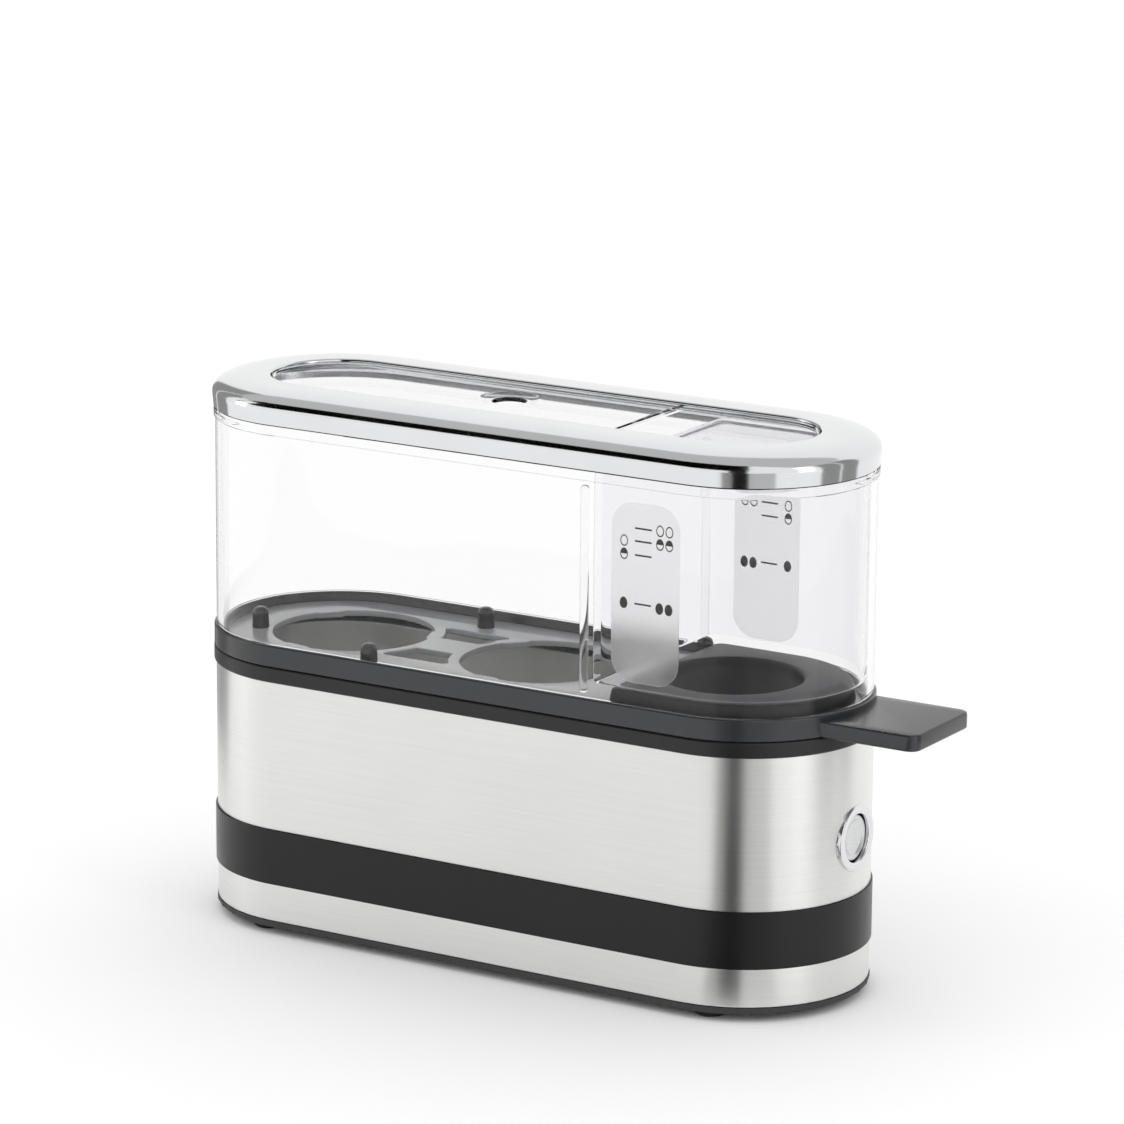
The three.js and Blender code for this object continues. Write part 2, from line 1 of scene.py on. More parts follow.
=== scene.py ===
# %% [markdown]
# # A slim egg cooker
# The object is an electric egg cooker for one or two eggs. A brushed steel base holds a water
# dish and its heater, a dark tray with a flat handle carries the eggs, and a clear hood with a
# chrome ring stands over them. Nearly every piece follows one outline: two straight sides and
# two round ends. So the lesson is mostly about one idea, a profile carried round an outline.

import math

import bmesh
import bpy
import numpy as np
from mathutils import Matrix, Vector


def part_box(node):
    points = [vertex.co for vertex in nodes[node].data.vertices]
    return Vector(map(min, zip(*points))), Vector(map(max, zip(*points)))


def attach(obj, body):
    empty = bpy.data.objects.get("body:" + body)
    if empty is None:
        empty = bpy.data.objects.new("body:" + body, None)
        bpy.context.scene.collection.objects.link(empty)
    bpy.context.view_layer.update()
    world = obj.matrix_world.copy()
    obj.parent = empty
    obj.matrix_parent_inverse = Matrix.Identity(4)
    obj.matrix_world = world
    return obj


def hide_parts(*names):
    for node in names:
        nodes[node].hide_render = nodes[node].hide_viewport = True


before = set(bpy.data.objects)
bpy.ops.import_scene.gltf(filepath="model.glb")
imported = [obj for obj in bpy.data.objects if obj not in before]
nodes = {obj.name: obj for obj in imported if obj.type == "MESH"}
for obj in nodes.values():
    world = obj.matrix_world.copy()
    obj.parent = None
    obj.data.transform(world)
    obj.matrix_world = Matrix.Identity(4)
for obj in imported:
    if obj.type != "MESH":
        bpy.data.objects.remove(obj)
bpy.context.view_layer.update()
mm = 0.001

# %% [markdown]
# ## The outline
# Everything is measured from the CAD pieces, so that the looks can't drift from the design.
# The upper steel sleeve gives the outline: its middle, its side radius, and how far the centre
# of each round end stands from the middle.

# %% Outline from the steel sleeve
sleeve_low, sleeve_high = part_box("upper_sleeve")
middle_x = (sleeve_low.x + sleeve_high.x) / 2 / mm
steel_radius = (sleeve_high.y - sleeve_low.y) / 2 / mm
half = (sleeve_high.x - sleeve_low.x) / 2 / mm - steel_radius
print(f"middle {middle_x:.2f}, side radius {steel_radius:.2f}, half straight {half:.2f} mm")


def span(node):
    """Lowest and highest Z of a CAD node, in millimetres."""
    low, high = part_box(node)
    return low.z / mm, high.z / mm


def reach(node):
    """How far a CAD node reaches sideways from the middle, in millimetres."""
    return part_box(node)[1].y / mm


# %% [markdown]
# ## A grid becomes a mesh
# A surface is an array of points over two parameters. Where it closes on itself, its last row
# repeats its first: the texture coordinates then run on past the seam, and the doubled points
# are merged afterwards, which also closes the poles. The volume's sign says whether the faces
# point outwards.

# %% Grid, turned and swept surfaces
ROUND_STEPS = 48  # along each round end
SIDE_STEPS = 16  # along each straight side
MERGE = 1e-6  # metres


def finish_mesh(name, mesh, sharp=30.0, closed=True):
    """Merges doubled points, shades smooth but for edges over sharp degrees, and links it."""
    work = bmesh.new()
    work.from_mesh(mesh)
    bmesh.ops.remove_doubles(work, verts=work.verts, dist=MERGE)
    bmesh.ops.dissolve_degenerate(work, edges=work.edges, dist=MERGE / 10)
    loose = [edge for edge in work.edges if not edge.link_faces]
    bmesh.ops.delete(work, geom=loose, context="EDGES")
    open_edges = sum(1 for e in work.edges if len(e.link_faces) != 2)
    volume = work.calc_volume(signed=True)
    work.to_mesh(mesh)
    work.free()
    mesh.shade_smooth()
    mesh.set_sharp_from_angle(angle=math.radians(sharp))
    piece = bpy.data.objects.new(name, mesh)
    bpy.context.scene.collection.objects.link(piece)
    note = "" if not closed else f", {open_edges} open edges, {volume * 1e6:.2f} cm3"
    print(f"{name}: {len(mesh.polygons)} faces{note}")
    return piece


def grid_faces(index):
    """The quads of a grid of point numbers, as (rows, columns, 4)."""
    corners = [index[:-1, :-1], index[1:, :-1], index[1:, 1:], index[:-1, 1:]]
    return np.stack(corners, axis=-1)


def new_mesh(name, points, uv, faces):
    """A mesh from points and their places on the texture, both in millimetres."""
    mesh = bpy.data.meshes.new(name)
    mesh.from_pydata((points * mm).tolist(), [], faces.tolist())
    layer = mesh.uv_layers.new(name="along_the_surface")
    loops = uv[faces.reshape(-1)] * mm
    layer.data.foreach_set("uv", loops.astype(np.float32).ravel())
    return mesh


def surface(name, points, uv, sharp=30.0, closed=True):
    """Quads over a grid of points, shape (rows, columns, 3), in millimetres. A face's corners
    run along the rows first, so its normal is the row direction crossed with the column's."""
    rows, columns = points.shape[:2]
    faces = grid_faces(np.arange(rows * columns).reshape(rows, columns)).reshape(-1, 4)
    mesh = new_mesh(name, points.reshape(-1, 3), uv.reshape(-1, 2), faces)
    return finish_mesh(name, mesh, sharp, closed)


def lengths(points):
    """Distance along a line of points, starting at 0."""
    steps = np.linalg.norm(np.diff(points, axis=0), axis=1)
    return np.concatenate([[0.0], np.cumsum(steps)])


def rounded(corners, steps=5):
    """A line of points in which each corner given as (r, z, radius) becomes an arc that is
    tangent to both of its sides. A corner with no radius stays sharp."""
    closed = corners[0][:2] == corners[-1][:2]
    plain = np.array([c[:2] for c in corners], float)
    out = []
    for i, corner in enumerate(corners):
        radius = corner[2] if len(corner) > 2 else 0.0
        if radius == 0.0:
            out.append(plain[i][None])
            continue
        before = plain[i - 1] if i else plain[-2]
        after = plain[i + 1] if i + 1 < len(corners) else plain[1]
        a, b = before - plain[i], after - plain[i]
        a, b = a / np.linalg.norm(a), b / np.linalg.norm(b)
        bend = math.acos(np.clip(a @ b, -1, 1))
        back = radius / math.tan(bend / 2)
        heart = (a + b) / np.linalg.norm(a + b) * radius / math.sin(bend / 2)
        start, end = a * back - heart, b * back - heart
        share = np.linspace(0, 1, steps + 1)[:, None]
        sweep = math.pi - bend
        arc = np.sin((1 - share) * sweep) * start + np.sin(share * sweep) * end
        out.append(plain[i] + heart + arc / math.sin(sweep))
    line = np.concatenate(out)
    if closed:
        line[-1] = line[0]
    return line


def held(line, gap=0.4):
    """The same line with a point near each end of every long stretch. Smooth shading blends
    the direction of a face with its neighbour's as far as the next point, so these points
    keep a rounded edge from bending the shading of the wall beside it."""
    out = [line[:1]]
    for start, end in zip(line[:-1], line[1:]):
        length = np.linalg.norm(end - start)
        if length > 3 * gap:
            step = (end - start) * gap / length
            out.append(np.stack([start + step, end - step]))
        out.append(end[None])
    return np.concatenate(out)


def ellipse(centre, level, wide, high, start, end, steps=14):
    """Points on an ellipse about (centre, level), from one angle to another, in degrees."""
    angle = np.radians(np.linspace(start, end, steps + 1))
    return np.stack([centre + wide * np.cos(angle), level + high * np.sin(angle)], axis=1)


def path_round():
    """The outline as rows of (centre x, normal x, normal y): a half turn at each end, and
    points along the straight sides between them. The first row is repeated at the end."""
    turn = np.radians(np.linspace(-90, 90, ROUND_STEPS + 1))
    side = np.linspace(1, -1, SIDE_STEPS + 1)[1:-1]
    side = np.concatenate([[0.99], side, [-0.99]])
    right = np.stack([np.full_like(turn, half), np.cos(turn), np.sin(turn)], axis=1)
    back = np.stack([side * half, np.zeros_like(side), np.ones_like(side)], axis=1)
    there = np.concatenate([right, back])
    return np.concatenate([there, -there, there[:1]])


def swept(name, profile, **options):
    """A profile of (radius, height) carried round the outline: a point is the row's centre
    plus its normal times the radius. The profile goes up its outer side."""
    rows = path_round()[:, None, :]
    profile = held(np.asarray(profile, float))
    radius, height = profile[None, :, 0], profile[None, :, 1]
    x = middle_x + rows[..., 0] + rows[..., 1] * radius
    y = rows[..., 2] * radius
    z = np.broadcast_to(height, x.shape)
    points = np.stack([x, y, z], axis=-1)
    outer = np.stack([rows[:, 0, 0] + rows[:, 0, 1] * steel_radius,
                      rows[:, 0, 2] * steel_radius], axis=1)
    u = np.broadcast_to(lengths(outer)[:, None], x.shape)
    v = np.broadcast_to(lengths(profile)[None, :], x.shape)
    return surface(name, points, np.stack([u, v], axis=-1), **options)


def turned(name, profile, centre, axis="Z", steps=64, **options):
    """A profile of (radius, distance) turned about an axis through centre. The two other
    axes follow it in turn, so that the faces point outwards for each of the three."""
    first = {"X": 1, "Y": 2, "Z": 0}[axis]
    second = (first + 1) % 3
    along = (first + 2) % 3
    profile = held(np.asarray(profile, float))
    angle = np.linspace(0, 2 * math.pi, steps + 1)[:, None]
    points = np.zeros((steps + 1, len(profile), 3))
    points[..., first] = np.cos(angle) * profile[:, 0]
    points[..., second] = np.sin(angle) * profile[:, 0]
    points[..., along] = profile[:, 1]
    points[-1] = points[0]
    points += np.asarray(centre, float)
    u = np.broadcast_to(angle * profile[:, 0].max(), points.shape[:2])
    v = np.broadcast_to(lengths(profile), points.shape[:2])
    return surface(name, points, np.stack([u, v], axis=-1), **options)


# %% [markdown]
# ## Outlines seen from a point
# The measuring vessel, the raised end of the tray and the hood's top plates are the same
# outline cut off by straight walls. Seen from a point inside, each such outline is one
# distance for each direction: the nearest of its walls. A soft minimum rounds the corners.

# %% Outlines in polar form
POLAR_STEPS = 288


def distance_out(angle, centre, radius, left=None, right=None, sharpness=60):
    """Distance from (centre, 0) to the outline of the given radius, cut at left and right:
    the soft minimum of the distances to the sides, the round ends and the cuts."""
    c, s = np.cos(angle), np.sin(angle)
    side = radius / np.maximum(np.abs(s), 1e-9)
    end = np.sign(c) * half
    shift = centre - end
    inside = np.maximum(radius**2 - (shift * s) ** 2, 0)
    round_end = -shift * c + np.sqrt(inside)
    found = np.where(np.abs(centre + side * c) <= half, side, round_end)
    total = found ** (-float(sharpness))
    for wall, sign in ((left, -1), (right, 1)):
        if wall is None:
            continue
        away = (wall - centre) / np.where(sign * c > 1e-6, c, np.nan)
        total = total + np.nan_to_num(away ** (-float(sharpness)))
    return total ** (-1 / sharpness)


def lofted(name, centre, rings, **options):
    """Rings round (centre, 0), each a distance for every direction and a height, joined in
    order. The order goes up the outside and then inwards."""
    angle = np.linspace(0, 2 * math.pi, POLAR_STEPS + 1)
    points = np.zeros((len(angle), len(rings), 3))
    for j, (out, height) in enumerate(rings):
        distance = out(angle) if callable(out) else np.full_like(angle, out)
        points[:, j, 0] = middle_x + centre + np.cos(angle) * distance
        points[:, j, 1] = np.sin(angle) * distance
        points[:, j, 2] = height
    points[-1] = points[0]
    around = lengths(points[:, 0])
    u = np.broadcast_to(around[:, None], points.shape[:2])
    v = np.broadcast_to(lengths(points[0])[None, :], points.shape[:2])
    return surface(name, points, np.stack([u, v], axis=-1), **options)


# %% [markdown]
# ## Flat pieces with holes
# A plate with several holes isn't a grid. A flat curve with one closed line for each edge
# fills itself, and its own bevel rounds every edge alike. It is turned into a mesh before it
# is put in place.

# %% Plates
def plate(name, outlines, low, high, bevel, facing="Z"):
    """Outlines as arrays of (x, y), the first the outer one, filled between two heights.
    facing Y stands the plate up, with its outlines read as (x, z)."""
    curve = bpy.data.curves.new(name, "CURVE")
    curve.dimensions = "2D"
    curve.fill_mode = "BOTH"
    curve.extrude = ((high - low) / 2 - bevel) * mm
    curve.bevel_depth = bevel * mm
    curve.bevel_resolution = 2 if bevel > 0.2 else 0
    curve.offset = -bevel * mm
    for outline in outlines:
        spline = curve.splines.new("POLY")
        spline.points.add(len(outline) - 1)
        flat = np.zeros((len(outline), 4))
        flat[:, :2] = outline * mm
        flat[:, 3] = 1
        spline.points.foreach_set("co", flat.ravel())
        spline.use_cyclic_u = True
    maker = bpy.data.objects.new(name + "_curve", curve)
    bpy.context.scene.collection.objects.link(maker)
    bpy.context.view_layer.update()
    shape = maker.evaluated_get(bpy.context.evaluated_depsgraph_get())
    mesh = bpy.data.meshes.new_from_object(shape)
    bpy.data.objects.remove(maker)
    bpy.data.curves.remove(curve)
    mesh.materials.clear()
    lift = Matrix.Translation((0, 0, (high + low) / 2 * mm))
    if facing == "Y":
        lift = Matrix.Rotation(math.radians(90), 4, "X") @ Matrix.Translation(
            (0, 0, -(high + low) / 2 * mm)
        )
    mesh.transform(lift)
    mesh.name = name
    return finish_mesh(name, mesh, sharp=35.0)


def obround_line(radius, steps=40):
    """The outline at one radius, as (x, y)."""
    turn = np.radians(np.linspace(-90, 90, steps + 1))
    arc = np.stack([half + radius * np.cos(turn), radius * np.sin(turn)], axis=1)
    line = np.concatenate([arc, -arc])
    line[:, 0] += middle_x
    return line


def rectangle_line(x0, x1, y0, y1, radius, steps=6):
    """A rectangle with round corners, as (x, y)."""
    turn = np.radians(np.linspace(0, 90, steps + 1))
    parts = []
    for quarter, (x, y) in enumerate(((x1, y1), (x0, y1), (x0, y0), (x1, y0))):
        cx = x - radius if x == x1 else x + radius
        cy = y - radius if y == y1 else y + radius
        angle = turn + quarter * math.pi / 2
        parts.append(np.stack([cx + radius * np.cos(angle), cy + radius * np.sin(angle)], 1))
    return np.concatenate(parts)


# %% [markdown]
# ## Colours and nodes
# Colours are written as sRGB hex values and turned to linear light by one function. One more
# function adds a node: a plain value is set on its socket, and a socket is linked to it.

# %% Material helpers
def linear(hex_colour):
    """sRGB hex to linear RGBA: the sRGB curve's two parts, on each channel."""
    channels = [int(hex_colour[i:i + 2], 16) / 255 for i in (1, 3, 5)]
    light = [c / 12.92 if c <= 0.04045 else ((c + 0.055) / 1.055) ** 2.4 for c in channels]
    return (*light, 1)


def plug(node, inputs):
    """Fills a node's sockets, given by name or number, with values or from other sockets."""
    for name, value in inputs.items():
        if isinstance(value, bpy.types.NodeSocket):
            node.id_data.links.new(value, node.inputs[name])
        else:
            node.inputs[name].default_value = value


def add(tree, kind, inputs=None, **settings):
    """Adds a node with its settings, and fills its sockets."""
    made = tree.nodes.new(kind)
    for name, value in settings.items():
        setattr(made, name, value)
    plug(made, inputs or {})
    return made


def material(name):
    """An empty material with a Principled shader, as (material, tree, shader)."""
    made = bpy.data.materials.new(name)
    made.use_nodes = True
    tree = made.node_tree
    tree.nodes.clear()
    shader = add(tree, "ShaderNodeBsdfPrincipled")
    add(tree, "ShaderNodeOutputMaterial", {"Surface": shader.outputs[0]})
    return made, tree, shader


def pattern(tree, size, detail=2.0, uv=False, seed=0.0):
    """Noise whose grains are size millimetres along each axis, as a socket from 0 to 1."""
    source = add(tree, "ShaderNodeTexCoord").outputs["UV" if uv else "Object"]
    scale = [1 / (s * mm) for s in size]
    place = add(tree, "ShaderNodeMapping", {"Vector": source, "Scale": scale,
                                            "Location": (seed, seed, seed)})
    noise = add(tree, "ShaderNodeTexNoise",
                {"Vector": place.outputs[0], "Scale": 1.0, "Detail": detail})
    return noise.outputs[0]


def between(tree, value, low, high, start=0.3, end=0.7):
    """Maps a pattern's middle range to low..high."""
    node = add(tree, "ShaderNodeMapRange", {"Value": value, "From Min": start, "From Max": end,
                                            "To Min": low, "To Max": high})
    return node.outputs[0]


def mixed(tree, factor, first, second):
    """A colour between two hex colours."""
    node = add(tree, "ShaderNodeMix", data_type="RGBA")
    node.inputs[6].default_value = linear(first)
    node.inputs[7].default_value = linear(second)
    tree.links.new(factor, node.inputs[0])
    return node.outputs[2]


def bumped(tree, shader, height, depth_mm, strength=1.0):
    """Adds a height pattern to a shader's normal. depth_mm is the depth of the real relief."""
    bump = add(tree, "ShaderNodeBump", {"Height": height, "Distance": depth_mm * mm,
                                        "Strength": strength})
    tree.links.new(bump.outputs[0], shader.inputs["Normal"])


def finish(piece, finish_material, body, stands_for=()):
    """Gives a piece its material and its body, and hides the CAD nodes that it stands for."""
    piece.data.materials.clear()
    piece.data.materials.append(finish_material)
    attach(piece, body)
    if stands_for:
        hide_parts(*stands_for)
    return piece


# %% [markdown]
# ## Metals
# The sleeves are stainless sheet, drawn over abrasive belts along their length. The scratches
# run level round the body, so a highlight is smeared upwards and downwards, and stays narrow
# from side to side. The ring on the hood is moulded plastic with a chrome plating: a mirror
# that is never quite flat. The button is a turned disc, with rings about its middle.

# %% Metal materials
def brushed_stainless():
    """Stainless steel, belt-brushed: fine level lines and a soft, upright highlight."""
    made, tree, shader = material("brushed_stainless_sheet")
    lines = pattern(tree, (14.0, 0.2, 1.0), detail=3.0, uv=True)
    streaks = pattern(tree, (45.0, 0.8, 1.0), detail=2.0, uv=True, seed=4.0)
    clouds = pattern(tree, (30.0, 22.0, 1.0), detail=1.0, uv=True, seed=9.0)
    both = add(tree, "ShaderNodeMath", {0: lines, 1: streaks}, operation="ADD").outputs[0]
    level = between(tree, both, 0.0, 1.0, 0.6, 1.4)
    rough = add(tree, "ShaderNodeMath", {0: between(tree, level, 0.30, 0.34, 0.0, 1.0),
                                         1: between(tree, clouds, -0.015, 0.015)},
                operation="ADD").outputs[0]
    tangent = add(tree, "ShaderNodeTangent", direction_type="UV_MAP").outputs[0]
    plug(shader, {"Base Color": mixed(tree, level, "#DFDFDE", "#E7E7E5"), "Roughness": rough,
                  "Metallic": 1.0, "Anisotropic": 0.7, "Anisotropic Rotation": 0.25,
                  "Tangent": tangent})
    bumped(tree, shader, level, 0.003, 0.4)
    return made


def chrome_plate():
    """Chrome on moulded plastic: a grey mirror with a very slight waviness and haze."""
    made, tree, shader = material("chrome_plated_abs")
    haze = pattern(tree, (14.0, 14.0, 9.0), detail=3.0)
    plug(shader, {"Base Color": mixed(tree, haze, "#D8D9DA", "#E1E2E3"),
                  "Roughness": between(tree, haze, 0.10, 0.14), "Metallic": 1.0})
    wave = pattern(tree, (18.0, 18.0, 18.0), detail=0.0, seed=2.0)
    bumped(tree, shader, wave, 0.02, 0.2)
    return made


def plain_metal(name, dark, light, rough, grain=0.4):
    """A bare or plated metal: a fine grain in its colour and its gloss."""
    made, tree, shader = material(name)
    grains = pattern(tree, (grain, grain, grain), detail=3.0)
    stains = pattern(tree, (12.0, 12.0, 12.0), detail=2.0, seed=5.0)
    plug(shader, {"Base Color": mixed(tree, stains, dark, light), "Metallic": 1.0,
                  "Roughness": between(tree, grains, rough - 0.05, rough + 0.08)})
    bumped(tree, shader, grains, 0.01, 0.4)
    return made


WAVE_UNIT = 0.16  # the wave texture's scale for one ring to each unit
RING_PITCH = 0.5  # mm between two rings


def turned_metal(name, node, dark, light, rough):
    """Metal faced on a lathe: fine rings about the part's own axis."""
    made, tree, shader = material(name)
    low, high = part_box(node)
    centre = (low + high) / 2
    source = add(tree, "ShaderNodeTexCoord").outputs["Object"]
    moved = add(tree, "ShaderNodeVectorMath", {0: source, 1: centre}, operation="SUBTRACT")
    wave = {"Vector": moved.outputs[0], "Scale": WAVE_UNIT / (RING_PITCH * mm),
            "Distortion": 0.6, "Detail": 2.0}
    rings = add(tree, "ShaderNodeTexWave", wave, wave_type="RINGS",
                rings_direction="X").outputs["Fac"]
    plug(shader, {"Base Color": mixed(tree, rings, dark, light), "Metallic": 1.0,
                  "Roughness": between(tree, rings, rough - 0.03, rough + 0.05, 0, 1)})
    bumped(tree, shader, rings, 0.001, 0.15)
    return made


steel = brushed_stainless()
chrome = chrome_plate()
ring_metal = turned_metal("satin_chrome_ring", "button_bezel", "#DDDEE0", "#E6E6E7", 0.16)
button_metal = turned_metal("turned_aluminium_button", "power_button", "#D3D4D5", "#DCDCDD", 0.28)
# The dish's pale colour is partly its own coated steel and partly painted light, lightened to make up for the shade
# it sits in under the tray.
lightened_dish_metal = plain_metal("coated_dish_steel_with_painted_light", "#CECECD", "#DEDDDB", 0.5)
zinc = plain_metal("zinc_plated_steel", "#9C9C97", "#B7B6AE", 0.3)
sheath = plain_metal("annealed_heater_sheath", "#6F6860", "#8A8178", 0.45)
spring_wire = plain_metal("drawn_spring_wire", "#A9A9A8", "#C4C4C2", 0.28)
needle_steel = plain_metal("ground_needle_steel", "#BDBDBD", "#DADADA", 0.2)
print("metals", len(bpy.data.materials))

# %% [markdown]
# ## Plastics and rubber
# Moulded plastic takes the texture of its mould: a fine spark-eroded grain on the band and the
# tray, which breaks up highlights. The clear pieces are polished SAN. The real plastic has an
# index near 1.57. The indices here are set lower, from 1.03 to 1.25, which isn't physical: it
# keeps the thin walls faint, so that they show mostly at their edges.

# %% Plastic materials
def moulded(name, dark, light, rough, grain=0.35, depth=0.012, gloss=0.5):
    """Moulded plastic: a spark-eroded grain, with slow changes of gloss over the surface."""
    made, tree, shader = material(name)
    grains = pattern(tree, (grain, grain, grain), detail=2.0)
    flow = pattern(tree, (25.0, 25.0, 18.0), detail=2.0, seed=3.0)
    rougher = add(tree, "ShaderNodeMath", {0: between(tree, grains, rough - 0.03, rough + 0.04),
                                           1: between(tree, flow, -0.02, 0.02)},
                  operation="ADD").outputs[0]
    plug(shader, {"Base Color": mixed(tree, flow, dark, light), "Roughness": rougher,
                  "Specular IOR Level": gloss})
    bumped(tree, shader, grains, depth, 0.5)
    return made


def clear_moulding(name, tint, rough, clear=1.0, index=1.25):
    """Polished clear plastic: nearly no colour, with faint flow waves left by the mould. What
    isn't clear in it scatters light, as a frosted face does."""
    made, tree, shader = material(name)
    haze = pattern(tree, (9.0, 9.0, 14.0), detail=2.0)
    plug(shader, {"Base Color": linear(tint), "Transmission Weight": clear, "IOR": index,
                  "Roughness": between(tree, haze, rough, rough + 0.02)})
    waves = pattern(tree, (22.0, 22.0, 40.0), detail=0.0, seed=6.0)
    bumped(tree, shader, waves, 0.02, 0.25)
    return made


band_plastic = moulded("spark_eroded_black_abs", "#0D0D0E", "#131314", 0.33, gloss=0.35)
rim_plastic = moulded("satin_black_pbt", "#161617", "#1C1C1E", 0.34, gloss=0.4)
tray_plastic = moulded("satin_grey_polypropylene", "#2A2B2D", "#313234", 0.22, depth=0.006)
# The deck is one moulding with the dark ring. Its light grey is painted light, lifting it to the brightness it shows
# under the hood.
lightened_deck_plastic = moulded("tray_deck_grey_with_painted_light", "#A6A7A9", "#AEAFB1", 0.2, depth=0.006, gloss=0.8)
bowl_plastic = moulded("matt_grey_bowl", "#2C2D2F", "#343537", 0.36, depth=0.006, gloss=0.2)
inner_plastic = moulded("plain_moulded_nylon", "#2A2A2B", "#343435", 0.55)
rubber = moulded("black_rubber", "#101011", "#18181A", 0.7, grain=0.5)
white_plastic = moulded("white_terminal_nylon", "#D8D5CB", "#E4E1D8", 0.5)
ceramic = moulded("glazed_fuse_body", "#D9D5C8", "#E9E6DC", 0.25)
board = moulded("green_solder_mask", "#1E5A34", "#2A6B40", 0.4)
brown_wire = moulded("brown_silicone_wire", "#4A2A17", "#5C371F", 0.5)
grey_wire = moulded("grey_silicone_wire", "#6F7072", "#808183", 0.5)
blue_wire = moulded("blue_silicone_wire", "#1E3F86", "#274C9A", 0.5)
hood_clear = clear_moulding("clear_san_hood", "#FBFBFB", 0.0)
vessel_clear = clear_moulding("clear_san_vessel", "#F9F9FA", 0.0, index=1.04)
plate_clear = clear_moulding("clear_san_top", "#F5F5F6", 0.03, index=1.03)
panel_clear = clear_moulding("frosted_scale_panel", "#FFFFFF", 0.36, clear=0.9, index=1.2)
ink = moulded("printed_scale_ink", "#0C0C0D", "#141415", 0.4)
print("materials", len(bpy.data.materials))

# %% [markdown]
# ## CAD pieces that stay
# The floor of the base and the parts closed in by it keep their CAD shape. Each gets the
# finish of the real piece, because they show through the slots and at the poses.

# %% Finishes for the CAD pieces
kept = {
    "bottom_plate": inner_plastic,
    "button_spring": spring_wire,
    "switch_body": inner_plastic,
    "circuit_board": board,
    "buzzer": inner_plastic,
    "terminal_block": white_plastic,
    "thermal_fuse": ceramic,
    "thermostat": zinc,
    "heating_element": sheath,
    "wire_to_switch": brown_wire,
    "wire_to_heater": grey_wire,
    "wire_from_heater": blue_wire,
    "piercing_needle": needle_steel,
}
for node, finish_material in kept.items():
    nodes[node].data.materials.clear()
    nodes[node].data.materials.append(finish_material)
print("kept from the CAD:", ", ".join(kept))

# %% [markdown]
# ## Steel sleeves and the dark band
# A sleeve is a closed strip of sheet, welded end to end and brushed. The upper one has a round
# hole for the button, and the band has one for the lead. A grid can't hold a round hole, so a
# square of it is left out and filled with a second grid, whose rings go from the square to the
# circle and meet the first grid point for point.

# %% Walls with a round hole
def on_outline(s, radius):
    """(x, y) at the distance s along the outline of a radius, from the end nearest the handle,
    going towards the back: an arc, a straight side, an arc, and so on."""
    bend = radius * math.pi / 2
    total = 4 * half + 4 * bend
    s = np.mod(s + total / 2, total) - total / 2
    distance = np.abs(s)
    first = np.clip(distance, 0, bend) / radius
    along = np.clip(distance - bend, 0, 2 * half)
    last = np.clip(distance - bend - 2 * half, 0, bend) / radius
    turn = first + last
    x = half - along + radius * np.cos(turn)
    y = radius * np.sin(turn) * np.sign(s)
    return middle_x + x, y


HOLE_STEPS = 12  # along each side of the square round a hole
RING_STEPS = 4  # from that square in to the hole
BELOW_STEPS, ABOVE_STEPS, REST_STEPS = 4, 6, 180  # below, above and beside the square
SQUARE_MARGIN = 2.6  # mm from the hole to the square, where the wall is tall enough
SQUARE_INSIDE = 0.1  # mm from the square to the wall's edge, where it isn't


def wall_with_hole(name, radius, low, high, hole_s, hole_z, hole_radius, thickness, edge):
    """A wall round the outline with a round hole: a grid over (distance, height) without one
    square, and rings between that square and the circle."""
    side = hole_radius + min(SQUARE_MARGIN, hole_z - low - hole_radius - SQUARE_INSIDE,
                             high - hole_z - hole_radius - SQUARE_INSIDE)
    total = 4 * half + 2 * math.pi * radius
    near = np.linspace(-side, side, HOLE_STEPS + 1)
    far = np.linspace(side, total - side, REST_STEPS + 1)[1:]
    s = np.concatenate([near, far])
    z = np.concatenate([np.linspace(low, hole_z - side, BELOW_STEPS + 1)[:-1], near + hole_z,
                        np.linspace(hole_z + side, high, ABOVE_STEPS + 1)[1:]])
    index = np.arange(len(s) * len(z)).reshape(len(s), len(z))
    faces = grid_faces(index)
    keep = np.ones(faces.shape[:2], bool)
    keep[:HOLE_STEPS, BELOW_STEPS:BELOW_STEPS + HOLE_STEPS] = False
    grid_s, grid_z = np.meshgrid(s, z, indexing="ij")
    edge_line = np.concatenate([
        np.stack([near, np.full_like(near, -side)], 1)[:-1],
        np.stack([np.full_like(near, side), near], 1)[:-1],
        np.stack([near[::-1], np.full_like(near, side)], 1)[:-1],
        np.stack([np.full_like(near, -side), near[::-1]], 1),
    ])
    angle = np.arctan2(edge_line[:, 1], edge_line[:, 0])
    circle = hole_radius * np.stack([np.cos(angle), np.sin(angle)], axis=1)
    share = np.linspace(0, 1, RING_STEPS + 1)[None, :, None]
    rings = edge_line[:, None] * (1 - share) + circle[:, None] * share
    ring_index = np.arange(len(rings) * (RING_STEPS + 1)).reshape(-1, RING_STEPS + 1)
    ring_faces = grid_faces(ring_index + index.size).reshape(-1, 4)
    all_faces = np.concatenate([faces[keep].reshape(-1, 4), ring_faces])
    flat = np.concatenate([np.stack([grid_s, grid_z], -1).reshape(-1, 2),
                           (rings + [0, hole_z]).reshape(-1, 2)])
    x, y = on_outline(flat[:, 0] + hole_s, radius)
    mesh = new_mesh(name, np.stack([x, y, flat[:, 1]], axis=1), flat, all_faces)
    piece = finish_mesh(name, mesh, closed=False)
    skin = piece.modifiers.new("thickness", "SOLIDIFY")
    skin.thickness = thickness * mm
    skin.offset = -1
    skin.use_even_offset = True
    soften = piece.modifiers.new("soft_edges", "BEVEL")
    soften.width = edge * mm
    soften.segments = 2
    soften.limit_method = "ANGLE"
    soften.angle_limit = math.radians(50)
    soften.harden_normals = True
    return piece


